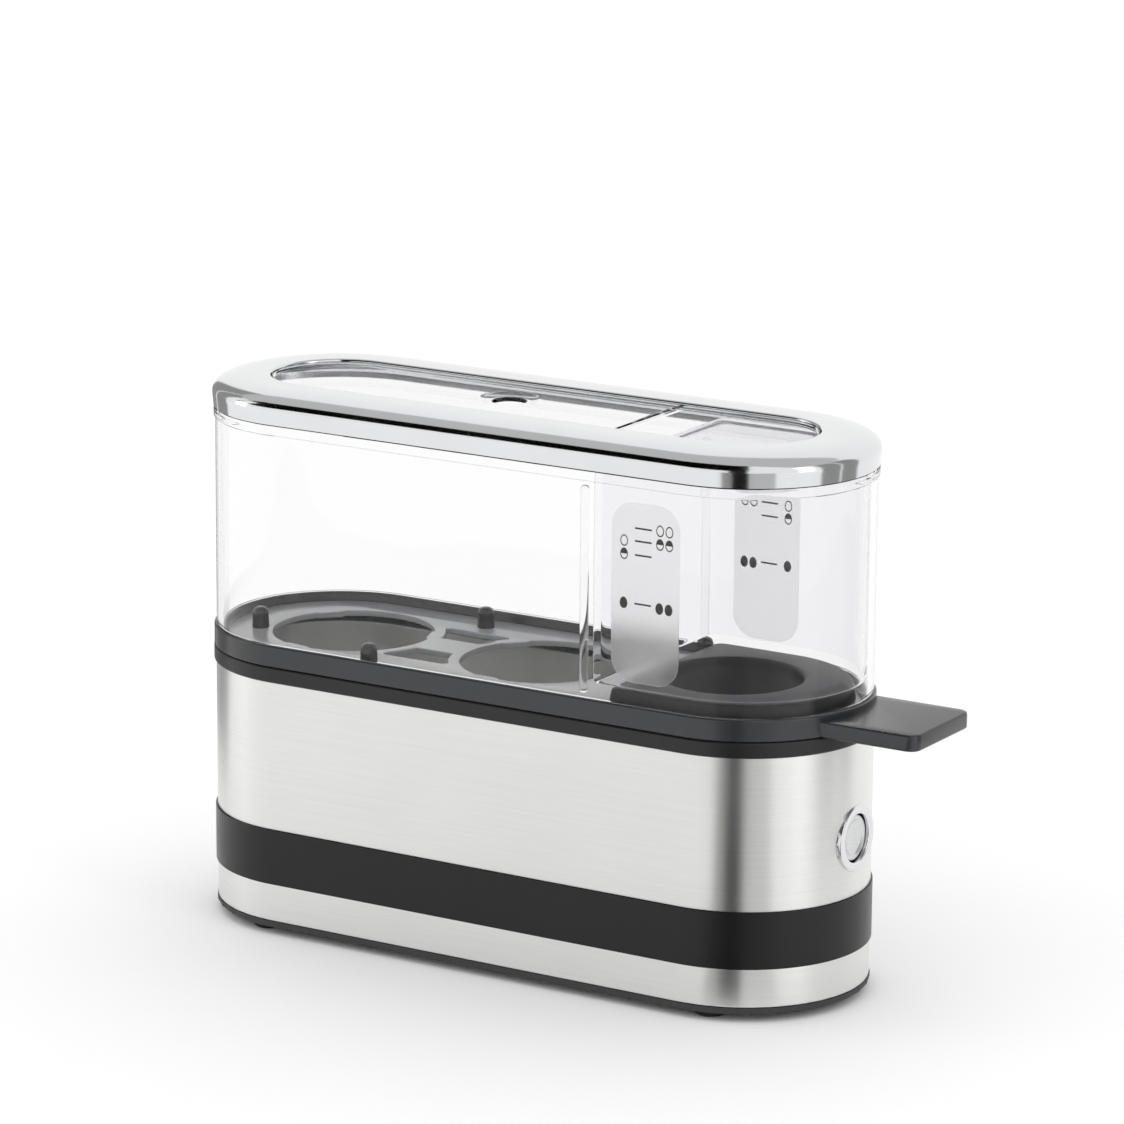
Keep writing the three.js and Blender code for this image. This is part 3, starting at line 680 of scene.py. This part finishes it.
SHEET = 0.6  # steel sheet, mm
SEAM = 0.05  # mm left between two casings
band_radius = reach("chassis_band")
band_low, band_high = span("lower_sleeve")[1] + SEAM, span("upper_sleeve")[0] - SEAM
button_low, button_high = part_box("button_bezel")
button_z = (button_low.z + button_high.z) / 2 / mm
barrel_radius = (button_high.z - button_low.z) / 2 / mm - 0.9
upper_low, upper_high = span("upper_sleeve")
upper_sleeve = wall_with_hole("upper_steel_sleeve", steel_radius, upper_low, upper_high,
                              0.0, button_z, barrel_radius + 0.25, SHEET, 0.12)
finish(upper_sleeve, steel, "base", ["upper_sleeve"])

lower_low, lower_high = span("lower_sleeve")
inner = steel_radius - SHEET
lower_sleeve = swept("lower_steel_sleeve", rounded([
    (inner, lower_low), (steel_radius, lower_low, 0.15), (steel_radius, lower_high, 0.15),
    (inner, lower_high), (inner, lower_low)], steps=3))
finish(lower_sleeve, steel, "base", ["lower_sleeve"])

gland_low, gland_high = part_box("cable_gland")
gland_x = (gland_low.x + gland_high.x) / 2 / mm
gland_z = (gland_low.z + gland_high.z) / 2 / mm
gland_radius = (gland_high.z - gland_low.z) / 2 / mm
gland_s = band_radius * math.pi / 2 + half - (gland_x - middle_x)
band = wall_with_hole("dark_band", band_radius, band_low, band_high,
                      gland_s, gland_z, gland_radius + 0.25, 3.0, 0.35)
finish(band, band_plastic, "base", ["chassis_band"])

# %% [markdown]
# ## Rim, dish, feet, gland and screws
# The rim closes the base and carries the dish on a ledge. The dish is pressed from thin sheet,
# so it is a thin profile with round bends, and its middle closes along the line between the
# two end centres. The small round parts are profiles turned about their own axes.

# %% Rim and dish
rim_low, rim_high = span("top_rim")
rim_radius = reach("top_rim")
rim_edge = upper_high + SEAM
ledge = rim_high - 1.9
SKIRT_IN, SKIRT_OUT = 29.8, 31.2
RIM_IN = 30.3
LEDGE_IN = 27.0
LEDGE_THICK = 1.6
top_rim = swept("base_top_rim", rounded([
    (SKIRT_IN, rim_low), (SKIRT_OUT, rim_low), (SKIRT_OUT, rim_edge), (rim_radius, rim_edge, 0.4),
    (rim_radius, rim_high, 0.45), (RIM_IN, rim_high, 0.4), (RIM_IN, ledge), (LEDGE_IN, ledge, 0.3),
    (LEDGE_IN, ledge - LEDGE_THICK), (SKIRT_IN, ledge - LEDGE_THICK), (SKIRT_IN, rim_low)],
    steps=4))
finish(top_rim, rim_plastic, "base", ["top_rim"])

dish_low, dish_high = span("heating_dish")
DISH_IN, DISH_OUT, DISH_FLANGE = 25.8, 26.6, 29.8
DISH_SHEET = 0.8
dish = swept("water_dish", rounded([
    (0, dish_low), (DISH_OUT, dish_low, 2.6), (DISH_OUT, dish_high - DISH_SHEET),
    (DISH_FLANGE, dish_high - DISH_SHEET), (DISH_FLANGE, dish_high), (DISH_IN, dish_high, 0.5),
    (DISH_IN, dish_low + DISH_SHEET, 1.8), (0, dish_low + DISH_SHEET)], steps=6))
# The dish's colour carries painted light against its shade.
finish(dish, lightened_dish_metal, "base", ["heating_dish"])

# %% Feet, gland and screws
foot_height = span("foot_front_left")[1]
for place in ("front_left", "front_right", "rear_left", "rear_right"):
    low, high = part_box("foot_" + place)
    centre = ((low.x + high.x) / 2 / mm, (low.y + high.y) / 2 / mm, 0)
    foot = turned("rubber_foot_" + place, rounded([
        (0, 0), (3.9, 0, 0.8), (4.0, foot_height, 0.2), (0, foot_height)], steps=4),
        centre, steps=40)
    finish(foot, rubber, "base", ["foot_" + place])
    low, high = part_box("screw_" + place)
    centre = ((low.x + high.x) / 2 / mm, (low.y + high.y) / 2 / mm, low.z / mm)
    length = (high.z - low.z) / mm
    screw = turned("closing_screw_" + place, rounded([
        (0, 0.9), (0.9, 0.9), (0.9, 0), (2.6, 0, 0.5), (2.6, 1.7), (1.45, 1.7),
        (1.45, length - 1.2), (0, length)], steps=4), centre, steps=32)
    finish(screw, zinc, "base", ["screw_" + place])

gland_back = gland_low.y / mm
gland_face = gland_high.y / mm
gland = turned("cable_gland_bush", rounded([
    (3.4, gland_back), (4.6, gland_back), (4.6, gland_face - 1.1), (gland_radius, gland_face - 1.1),
    (gland_radius, gland_face, 0.35), (3.4, gland_face, 0.5), (3.4, gland_back)], steps=4),
    (gland_x, 0, gland_z), axis="Y", steps=48)
finish(gland, rubber, "base", ["cable_gland"])

# %% [markdown]
# ## The button
# A plated ring is let into the round end of the sleeve, and the button sits a little below its
# face. The ring's face is flat but the sleeve is round, so the back of the ring's flange
# follows the sleeve: its depth is a function of the angle.

# %% Ring and button
ring_face = button_high.x / mm
ring_back = button_low.x / mm
ring_radius = (button_high.z - button_low.z) / 2 / mm
bore = 6.1
COLLAR = 3.0  # how far the ring's flange reaches back from its face
profile = rounded([
    (bore, ring_back), (barrel_radius, ring_back), (barrel_radius, ring_face - COLLAR),
    (ring_radius, ring_face - COLLAR), (ring_radius, ring_face, 0.35), (bore, ring_face, 0.45),
    (bore, ring_back)], steps=5)
ring = turned("button_ring", profile, (0, 0, button_z), axis="X", steps=96)
positions = np.zeros(len(ring.data.vertices) * 3)
ring.data.vertices.foreach_get("co", positions)
positions = positions.reshape(-1, 3) / mm
inside = np.maximum((steel_radius + 0.03) ** 2 - positions[:, 1] ** 2, 0)
hugging = middle_x + half + np.sqrt(inside)
collar = np.abs(positions[:, 0] - (ring_face - COLLAR)) < 0.01
positions[collar, 0] = hugging[collar]
ring.data.vertices.foreach_set("co", (positions * mm).ravel())
finish(ring, ring_metal, "base", ["button_bezel"])

cap_low, cap_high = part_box("power_button")
cap_face, cap_back = cap_high.x / mm, cap_low.x / mm
cap_radius = (cap_high.z - cap_low.z) / 2 / mm
button = turned("round_button", rounded([
    (0, cap_back), (1.6, cap_back), (1.6, cap_back + 2.6), (cap_radius, cap_back + 2.6),
    (cap_radius, cap_face, 0.5), (cap_radius - 1.1, cap_face, 0.6),
    (cap_radius - 1.6, cap_face - 0.35, 1.5), (0, cap_face - 0.4)], steps=5),
    (0, 0, button_z), axis="X", steps=96)
finish(button, button_metal, "button", ["power_button"])

# %% [markdown]
# ## The egg tray
# One moulding on the real object. Here it is made in pieces that touch: the outer ring, the
# deck with its holes, the raised end with the piercing bowl, the pegs and the handle. All ride
# on the tray's body.

# %% Ring and deck
tray_low = span("egg_tray")[0]
tray_radius = reach("egg_tray")
split = rim_high + 0.1
deck_z = 75.0
ring_top = 77.2
deck_edge = 28.9
DECK_THICK = 1.6
SKIRT_INNER, SKIRT_OUTER = 28.4, 29.8
tray_ring = swept("tray_ring", rounded([
    (SKIRT_INNER, deck_z - DECK_THICK), (SKIRT_INNER, tray_low, 0.3), (SKIRT_OUTER, tray_low, 0.3),
    (SKIRT_OUTER, split), (tray_radius, split, 0.4), (tray_radius, ring_top, 0.5),
    (29.9, ring_top, 0.4), (29.2, deck_z, 0.4), (deck_edge, deck_z),
    (deck_edge, deck_z - DECK_THICK), (SKIRT_INNER, deck_z - DECK_THICK)], steps=4))
finish(tray_ring, tray_plastic, "tray", ["egg_tray"])

EGG_RADIUS = 21.0
EGG_PLACES = (-56.0, 1.5)
BOWL_X = 57.0
PLATFORM_LEFT = 36.5
PLATFORM_RADIUS = 27.3
PLATFORM_SHARPNESS = 24
TABS = (20.0, 140.0, 260.0)


def egg_hole(x):
    """A circle with three flat stops: the radius drops by a millimetre near each stop, through
    a steep smooth step."""
    angle = np.linspace(0, 2 * math.pi, 241)[:-1]
    radius = np.full_like(angle, EGG_RADIUS)
    for tab in TABS:
        away = np.abs(np.angle(np.exp(1j * (angle - math.radians(tab))))) * EGG_RADIUS
        radius -= 1.0 / (1 + np.exp((away - 3.4) * 5))
    return np.stack([middle_x + x + radius * np.cos(angle), radius * np.sin(angle)], axis=1)


def web_hole(side):
    """The three-cornered hole between the egg holes: an arc about each, and a straight edge."""
    away = (EGG_PLACES[1] - EGG_PLACES[0]) / 2
    heart = middle_x + (EGG_PLACES[0] + EGG_PLACES[1]) / 2
    reach_out = EGG_RADIUS + 3.0
    angle = np.linspace(0.66, 0.24, 9)
    left = np.stack([-away + reach_out * np.cos(angle), reach_out * np.sin(angle)], axis=1)
    right = left[::-1] * [-1, 1]
    far = [[right[-1, 0] - 1.2, right[-1, 1] + 1.1], [left[0, 0] + 1.2, left[0, 1] + 1.1]]
    line = np.concatenate([left, right, far])
    line[:, 1] *= side
    line[:, 0] *= side
    line[:, 0] += heart
    return line


def polar_line(centre, radius, left=None, right=None, steps=180):
    """An outline in polar form, as (x, y)."""
    angle = np.linspace(0, 2 * math.pi, steps + 1)[:-1]
    distance = distance_out(angle, centre, radius, left, right, PLATFORM_SHARPNESS)
    return np.stack([middle_x + centre + distance * np.cos(angle),
                     distance * np.sin(angle)], axis=1)


deck = plate("tray_deck", [
    obround_line(deck_edge - 0.01), egg_hole(EGG_PLACES[0]), egg_hole(EGG_PLACES[1]),
    web_hole(1), web_hole(-1), polar_line(BOWL_X, PLATFORM_RADIUS - 0.9, PLATFORM_LEFT + 0.9)],
    deck_z - DECK_THICK, deck_z, 0.25)
# The deck's light grey is painted light.
finish(deck, lightened_deck_plastic, "tray")

# %% Raised end with the piercing bowl
PLATFORM_TOP = 79.4
BOWL_RADIUS = 17.6
BOWL_DEPTH = 11.0


def platform_ring(inset):
    """The raised end's outline, drawn in by inset."""
    return lambda angle: distance_out(angle, BOWL_X, PLATFORM_RADIUS - inset,
                                      PLATFORM_LEFT + inset, None, PLATFORM_SHARPNESS)


rings = [(platform_ring(0.0), deck_z - 1.4), (platform_ring(0.0), deck_z + 0.3),
         (platform_ring(0.05), deck_z + 0.6), (platform_ring(0.35), PLATFORM_TOP - 1.5),
         (platform_ring(0.38), PLATFORM_TOP - 1.2), (platform_ring(0.55), PLATFORM_TOP - 0.5),
         (platform_ring(0.95), PLATFORM_TOP - 0.12), (platform_ring(1.3), PLATFORM_TOP),
         (BOWL_RADIUS + 1.2, PLATFORM_TOP)]
lip = ellipse(BOWL_RADIUS + 0.9, PLATFORM_TOP - 0.9, 0.9, 0.9, 90, 180, 4)
rings += [(r, z) for r, z in lip]
hollow = ellipse(0, PLATFORM_TOP - 1.0, BOWL_RADIUS, BOWL_DEPTH - 1.0, 0, -86.5, 16)[1:]
rings += [(r, z) for r, z in hollow]
platform = lofted("piercing_platform", BOWL_X, rings, closed=False)
skin = platform.modifiers.new("thickness", "SOLIDIFY")
skin.thickness = 1.4 * mm
skin.offset = -1
finish(platform, bowl_plastic, "tray")

# %% Pegs and handle
PEGS = ((-78.5, -10.0), (-34.0, -26.0), (-29.0, 21.5), (33.8, 25.8))
for number, (x, y) in enumerate(PEGS, 1):
    peg = turned(f"tray_peg_{number}", rounded([
        (0, deck_z - 0.4), (2.3, deck_z - 0.4), (2.15, deck_z + 3.2), (2.1, deck_z + 5.35, 1.6),
        (0, deck_z + 5.4)], steps=6), (middle_x + x, y, 0), steps=32)
    finish(peg, tray_plastic, "tray")

HANDLE_HALF = 14.6
HANDLE_THICK = 4.2
HANDLE_ROOT = 31.0  # radius of the arc on which it starts
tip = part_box("egg_tray")[1].x / mm
turn = np.linspace(0, math.pi / 2, 8)
corner = 3.0
root_turn = math.asin(HANDLE_HALF / HANDLE_ROOT)
root = np.linspace(root_turn, -root_turn, 9)
handle_line = np.concatenate([
    np.stack([middle_x + half + HANDLE_ROOT * np.cos(root), HANDLE_ROOT * np.sin(root)], axis=1),
    np.stack([tip - corner + corner * np.sin(turn),
              -HANDLE_HALF + corner - corner * np.cos(turn)], axis=1),
    np.stack([tip - corner + corner * np.cos(turn),
              HANDLE_HALF - corner + corner * np.sin(turn)], axis=1)])
handle = plate("tray_handle", [handle_line], split, split + HANDLE_THICK, 0.6)
finish(handle, tray_plastic, "tray")

# %% [markdown]
# ## The hood
# A thin clear moulding with a bead near its top edge. Light shows it at its edges, so it has a
# real wall with two surfaces. An upright rib on each long side guides the measuring vessel.

# %% Hood shell and top plates
hood_low, hood_high = span("hood")
hood_radius = steel_radius - 0.1
WALL = 1.6
hood_inside = hood_radius - WALL
bead_low, bead_high = 131.8, 134.0
plate_radius = 17.1
DOME_X = 20.5  # where the hood's and the chrome ring's domes begin
hood_profile = np.concatenate([
    rounded([(hood_inside, hood_low), (hood_radius, hood_low, 0.3), (hood_radius, bead_low),
             (hood_radius + 0.4, bead_low + 0.3, 0.2), (hood_radius + 0.4, bead_high, 0.3),
             (hood_radius, bead_high + 0.3), (30.6, bead_high + 0.3)], steps=3),
    ellipse(DOME_X, 136.2, 10.1, 4.4, 0, 90, 10),
    np.array([[plate_radius, 140.6], [plate_radius, 139.9]]),
    ellipse(20.0, 136.2, 9.2, 3.0, 90, 0, 10),
    np.array([[hood_inside - 0.8, 133.4], [hood_inside, bead_low], [hood_inside, hood_low]]),
])
hood_shell = swept("clear_hood_shell", hood_profile)
finish(hood_shell, hood_clear, "hood", ["hood"])

VENT_X = -9.0
PARTING_X = 31.8
plate_top = hood_high
plate_low = plate_top - 1.8
PLATE_RADIUS = plate_radius - 0.05


def plate_ring(centre, side, inset):
    """A top plate's outline, drawn in by inset. side says on which side of the parting it is."""
    cut = PARTING_X + side * 0.5 + side * inset
    left, right = (cut, None) if side > 0 else (None, cut)
    return lambda angle: distance_out(angle, centre, PLATE_RADIUS - inset, left, right, 90)


def plate_edge(centre, side):
    """The rings of a top plate from under its edge up and round to its top."""
    insets = (0.4, 0.0, 0.0, 0.08, 0.25, 0.6)
    heights = (plate_low, plate_low, plate_top - 0.25, plate_top - 0.07, plate_top, plate_top)
    return [(plate_ring(centre, side, i), z) for i, z in zip(insets, heights)]


left_plate = lofted("hood_top_plate", VENT_X, [
    (4.4, plate_low), (4.8, plate_low), *plate_edge(VENT_X, -1), (8.2, plate_top),
    (7.8, plate_top), (7.3, plate_top - 0.2), (5.6, plate_top - 0.7), (4.6, plate_top - 0.7), (4.4, plate_top - 0.9),
    (4.4, plate_low)])
finish(left_plate, plate_clear, "hood")

end_plate = lofted("vessel_end_plate", BOWL_X, [
    (0.0, plate_low), *plate_edge(BOWL_X, 1), (0.0, plate_top)])
finish(end_plate, plate_clear, "hood")

# %% Guide ribs
RIB_X = 31.4
RIB_RADIUS = 1.1
for side, name in ((-1, "front"), (1, "rear")):
    rib_low, rib_high = hood_low + 0.6, bead_low - 1.5
    rib = turned("guide_rib_" + name, rounded([
        (0, rib_low), (RIB_RADIUS, rib_low, 1.0), (RIB_RADIUS, rib_high, 1.0), (0, rib_high)], steps=6),
        (middle_x + RIB_X, side * (hood_inside - RIB_RADIUS - 0.02), 0), steps=32)
    finish(rib, hood_clear, "hood")

# %% [markdown]
# ## The chrome ring
# An upright wall, a full shoulder and a nearly flat top, standing a little proud of the hood,
# with a lip that turns down inside the opening. It is a mirror, so its curve has to be smooth:
# the shoulder is a quarter ellipse whose sine and cosine are raised to a power below 1.

# %% Cap ring
cap_ring_low, cap_ring_high = span("cap_ring")
cap_radius_out = reach("cap_ring")
cap_opening = 17.5
CAP_INNER = 30.9
dome = cap_ring_low + 1.8
shoulder_low = cap_ring_low + 3.6
FULL = 0.77  # power that fills out the shoulder's quarter ellipse
shoulder_turn = np.radians(np.linspace(0, 90, 33))
shoulder_arc = np.stack([
    DOME_X + (cap_radius_out - DOME_X) * np.maximum(np.cos(shoulder_turn), 0) ** FULL,
    shoulder_low + (cap_ring_high - shoulder_low) * np.sin(shoulder_turn) ** FULL], axis=1)
cap_profile = np.concatenate([
    np.array([[CAP_INNER, cap_ring_low], [cap_radius_out - 0.6, cap_ring_low],
              [cap_radius_out - 0.3, cap_ring_low + 0.3]]),
    shoulder_arc,
    rounded([(cap_opening + 1.2, cap_ring_high), (cap_opening, cap_ring_high, 0.7),
             (cap_opening, cap_ring_high - 1.6)], steps=6),
    ellipse(DOME_X, dome, 10.6, 4.75, 90, 0, 10),
    np.array([[CAP_INNER, cap_ring_low]]),
])
cap_ring = swept("chrome_cap_ring", cap_profile)
finish(cap_ring, chrome, "hood", ["cap_ring"])

# %% [markdown]
# ## The measuring vessel
# A clear cup with one flat wall, stored upside down in the hood's end. Its outline is the
# hood's round end cut off by that wall. On each long side a panel carries the scale: short
# lines, each beside small eggs for one or two eggs, and white, half or full for how hard they
# are to be boiled.

# %% Vessel
vessel_low, vessel_high = span("measuring_vessel")
vessel_box_low, vessel_box_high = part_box("measuring_vessel")
vessel_left = vessel_box_low.x / mm - middle_x
vessel_radius = vessel_box_high.y / mm
VESSEL_WALL = 1.5
VESSEL_SHARPNESS = 36


def vessel_ring(inset):
    """The vessel's outline, drawn in by inset."""
    return lambda angle: distance_out(angle, BOWL_X, vessel_radius - inset,
                                      vessel_left + inset, None, VESSEL_SHARPNESS)


shoulder = vessel_high - 6.5
curl = 9.0
lip = VESSEL_WALL / 2
rim_arc = ellipse(lip, vessel_low + lip, lip, lip, 180, 360, 8)


def scaled(ring, share):
    """A ring drawn in towards its centre by a share."""
    return lambda angle: ring(angle) * share


def vessel_wall(inset, top, wide, high):
    """Rings of one surface of the vessel, from its open rim up and in to the middle: a wall,
    a shoulder that is a quarter of an ellipse, and a flat end."""
    arc = ellipse(0, shoulder, wide, high, 0, 90, 10)
    levels = (vessel_low + lip, vessel_low + lip + 0.4, shoulder - 0.4)
    wall = [(vessel_ring(inset), z) for z in levels]
    bend = [(vessel_ring(inset + wide - r), z) for r, z in arc]
    end = vessel_ring(inset + wide)
    return wall + bend + [(scaled(end, 0.96), top), (scaled(end, 0.5), top), (0.0, top)]


outer_wall = vessel_wall(0.0, vessel_high, curl, vessel_high - shoulder)
inner_top = vessel_high - VESSEL_WALL
inner_wall = vessel_wall(VESSEL_WALL, inner_top, curl - VESSEL_WALL, inner_top - shoulder)
rim_rings = [(vessel_ring(i), z) for i, z in rim_arc[1:-1]]
vessel = lofted("measuring_vessel_clear", BOWL_X,
                outer_wall + inner_wall[::-1] + rim_rings[::-1] + outer_wall[:1])
finish(vessel, vessel_clear, "hood", ["measuring_vessel"])

# %% Scale panels and marks
PANEL = (39.7, 58.8, 82.7, 127.8)
LINES = (121.6, 118.4, 114.9, 102.7)
PAIRS = ((121.7, 0), (118.3, 1), (102.3, 2))
SINGLES = ((118.2, 0), (114.9, 1), (102.6, 2))
PAIR_X = (53.3, 55.9)
SINGLE_X = 43.2
LINE_X = (46.2, 51.0)
REAR_DROP = 1.8
EGG_WIDE, EGG_HIGH = 1.08, 1.45
PANEL_THICK, INK_THICK = 0.2, 0.03
panel_y = vessel_radius + 0.02
mark_y = panel_y + 0.21  # just clear of the panel


def egg_line(x, z, scale=1.0, upper=False):
    """An egg's outline, an ellipse whose upper half is drawn in, or only that half."""
    angle = np.linspace(0, math.pi, 17) if upper else np.linspace(0, 2 * math.pi, 33)[:-1]
    wide = EGG_WIDE * scale * (1 - 0.05 * np.sin(angle))
    return np.stack([middle_x + x + wide * np.cos(angle), z + EGG_HIGH * scale * np.sin(angle)], 1)


def stand(name, outlines, side, start, thick, bevel, finish_material):
    """A thin upright plate on one long side, from start outwards."""
    low, high = (start, start + thick) if side > 0 else (-start - thick, -start)
    made = plate(name, outlines, low, high, bevel, facing="Y")
    return finish(made, finish_material, "hood")


for side, place in ((-1, "front"), (1, "rear")):
    x0, x1, z0, z1 = PANEL
    across = x0 + x1 if side > 0 else 0.0  # the rear marks are the front ones, turned round
    drop = REAR_DROP if side > 0 else 0.0
    z0, z1 = z0 - drop, z1 - drop
    line_x = sorted(abs(across - x) for x in LINE_X)
    stand("scale_panel_" + place, [rectangle_line(middle_x + x0, middle_x + x1, z0, z1, 6.0)],
          side, panel_y, PANEL_THICK, 0.05, panel_clear)
    for number, z in enumerate(LINES, 1):
        left, right = middle_x + line_x[0], middle_x + line_x[1]
        line = rectangle_line(left, right, z - drop - 0.22, z - drop + 0.22, 0.2)
        stand(f"scale_line_{place}_{number}", [line], side, mark_y, INK_THICK, 0.0, ink)
    marks = [(x, z, kind) for z, kind in PAIRS for x in PAIR_X]
    marks += [(SINGLE_X, z, kind) for z, kind in SINGLES]
    for number, (x, z, kind) in enumerate(marks, 1):
        x, z = abs(across - x), z - drop
        outlines = [egg_line(x, z)] if kind == 2 else [egg_line(x, z), egg_line(x, z, 0.78)]
        stand(f"scale_egg_{place}_{number}", outlines, side, mark_y, INK_THICK, 0.0, ink)
        if kind == 1:
            stand(f"scale_half_{place}_{number}", [egg_line(x, z, 0.8, upper=True)],
                  side, mark_y, INK_THICK, 0.0, ink)

# %% [markdown]
# ## Studio
# A white floor, a white room and two tall softboxes. Metal shows nothing but its surroundings,
# so it also needs something dark to reflect. Tall black flags stand in an arc in front of the
# object, clear of the floor, and one narrow flag stands on it. Cards on the floor, at the sides
# and overhead, from black to pale, set how bright each part of the steel and the chrome looks.
# Only reflections see the flags and the cards.

# %% Floor
def stage_material(name, hex_colour, glow=0.0):
    """A plain matt paint for the floor and the flags. With a glow it is a lit card."""
    made, _, shader = material(name)
    plug(shader, {"Base Color": linear(hex_colour), "Emission Color": linear("#FFFFFF"),
                  "Emission Strength": glow, "Roughness": 0.9, "Specular IOR Level": 0.0})
    return made


def card(name, corners, finish_material, seen=True):
    """A flat card with four corners, in metres."""
    mesh = bpy.data.meshes.new(name)
    mesh.from_pydata(corners, [], [(0, 1, 2, 3)])
    mesh.materials.append(finish_material)
    made = bpy.data.objects.new(name, mesh)
    bpy.context.scene.collection.objects.link(made)
    if not seen:
        made.visible_camera = False
        made.visible_transmission = False
        made.visible_diffuse = False
        made.visible_shadow = False
        made.visible_volume_scatter = False
    return made


floor_paint = stage_material("white_floor_paint", "#FEFEFE")
black_cloth = stage_material("black_flag_cloth", "#050505")
grey_cloth = stage_material("grey_lit_card", "#050505", glow=0.32)
pale_cloth = stage_material("pale_lit_card", "#050505", glow=0.6)
EXTENT = 8.0
card("floor", [(x * EXTENT, y * EXTENT, 0) for x, y in ((-1, -1), (1, -1), (1, 1), (-1, 1))],
     floor_paint)


def arc_card(name, azimuth_from, azimuth_to, distance, low, high, paint):
    """An upright card that spans two azimuths, counted from the front towards the handle."""
    ends = []
    for azimuth in (azimuth_from, azimuth_to):
        turn_to = math.radians(azimuth)
        ends.append((distance * math.sin(turn_to), -distance * math.cos(turn_to)))
    (x0, y0), (x1, y1) = ends
    corners = [(x0, y0, low), (x1, y1, low), (x1, y1, high), (x0, y0, high)]
    return card(name, corners, paint, seen=False)


def floor_card(name, azimuth_from, azimuth_to, near, far, paint):
    """A card on the floor that spans two azimuths, counted from the base's round end."""
    heart = (middle_x + half) * mm
    corners = []
    for azimuth, distance in ((azimuth_from, near), (azimuth_from, far),
                              (azimuth_to, far), (azimuth_to, near)):
        turn_to = math.radians(azimuth)
        corners.append((heart + distance * math.sin(turn_to), -distance * math.cos(turn_to), 0.001))
    return card(name, corners, paint, seen=False)


FLAG_STEP, SIDE_STEP = 15, 20  # degrees
FLAG_AWAY, SIDE_AWAY, FLOOR_AWAY = 2.6, 2.4, 2.7  # metres
FLAG_FOOT, FLAG_TOP = 0.85, 8.0  # the flags leave the floor's white below them
NEAR = 0.045  # a floor card starts outside the base's round end
OVERHEAD = 3.4
for number, start in enumerate(range(-75, 30, FLAG_STEP), 1):
    arc_card(f"flag_{number}", start, start + FLAG_STEP, FLAG_AWAY, FLAG_FOOT, FLAG_TOP,
             black_cloth)
arc_card("flag_upright", 13, 29, FLAG_AWAY, 0.0, FLAG_FOOT, black_cloth)
floor_card("flag_on_floor", 15, 29, NEAR, FLOOR_AWAY, black_cloth)
floor_card("grey_on_floor", 29, 52, NEAR, FLOOR_AWAY, pale_cloth)
floor_card("dim_on_floor", 6, 15, NEAR, FLOOR_AWAY, grey_cloth)
for number, start in enumerate((94, 116, -88, -110), 1):
    end = start + math.copysign(SIDE_STEP, start)
    arc_card(f"side_card_{number}", start, end, SIDE_AWAY, 0.0, 2.0, grey_cloth)
    floor_card(f"side_floor_card_{number}", start, end, 0.3, SIDE_AWAY, grey_cloth)
card("card_overhead", [(x, y, OVERHEAD) for x, y in ((-4, -1.0), (4, -1.0), (4, 2.6), (-4, 2.6))],
     pale_cloth, seen=False)

# %% Light
world = bpy.data.worlds.new("white_room")
world.use_nodes = True
world.node_tree.nodes.clear()
room = add(world.node_tree, "ShaderNodeBackground", {"Color": linear("#FFFFFF"), "Strength": 1.05})
add(world.node_tree, "ShaderNodeOutputWorld", {"Surface": room.outputs[0]})
bpy.context.scene.world = world


def softbox(name, azimuth, distance, height, wide, tall, power):
    """An area light that faces the object from an azimuth, counted as above."""
    light = bpy.data.lights.new(name, "AREA")
    light.shape = "RECTANGLE"
    light.size, light.size_y, light.energy = wide, tall, power
    made = bpy.data.objects.new(name, light)
    turn_to = math.radians(azimuth)
    made.location = (distance * math.sin(turn_to), -distance * math.cos(turn_to), height)
    aim = Vector((0, 0, 0.07)) - made.location
    made.rotation_euler = aim.to_track_quat("-Z", "Y").to_euler()
    bpy.context.scene.collection.objects.link(made)
    return made


softbox("softbox_left", -66, 1.5, 0.45, 0.32, 1.4, 1.6)
softbox("softbox_right", 80, 1.5, 0.45, 0.36, 1.4, 1.8)
print("lights", len(bpy.data.lights))

# %% [markdown]
# ## Camera
# A long lens from the front and a little above, so that the upright edges stay nearly
# parallel. Its place is counted from the middle of the base.

# %% Camera
AZIMUTH = math.radians(31.412)
ELEVATION = math.radians(13.789)
ROLL = math.radians(0.425)
LENS = 170.36  # mm, on a 36 mm sensor
back_axis = Vector((math.sin(AZIMUTH) * math.cos(ELEVATION),
                    -math.cos(AZIMUTH) * math.cos(ELEVATION), math.sin(ELEVATION)))
right_axis = Vector((math.cos(AZIMUTH), math.sin(AZIMUTH), 0))
up_axis = back_axis.cross(right_axis)
level_right = right_axis * math.cos(ROLL) + up_axis * math.sin(ROLL)
level_up = up_axis * math.cos(ROLL) - right_axis * math.sin(ROLL)
camera_data = bpy.data.cameras.new("camera")
camera_data.lens = LENS
camera_data.sensor_width = 36
camera_data.clip_end = 50
camera = bpy.data.objects.new("camera", camera_data)
bpy.context.scene.collection.objects.link(camera)
turned_to = Matrix((level_right, level_up, back_axis)).transposed().to_4x4()
place = Vector((middle_x * mm + 0.6853, -1.1109, 0.4210))
camera.matrix_world = Matrix.Translation(place) @ turned_to
bpy.context.scene.camera = camera
bpy.context.scene.view_settings.view_transform = "Standard"
bpy.context.scene.cycles.use_denoising = True
bpy.context.scene.cycles.max_bounces = 16
bpy.context.scene.cycles.transmission_bounces = 16
print("camera at", [round(v, 4) for v in place])
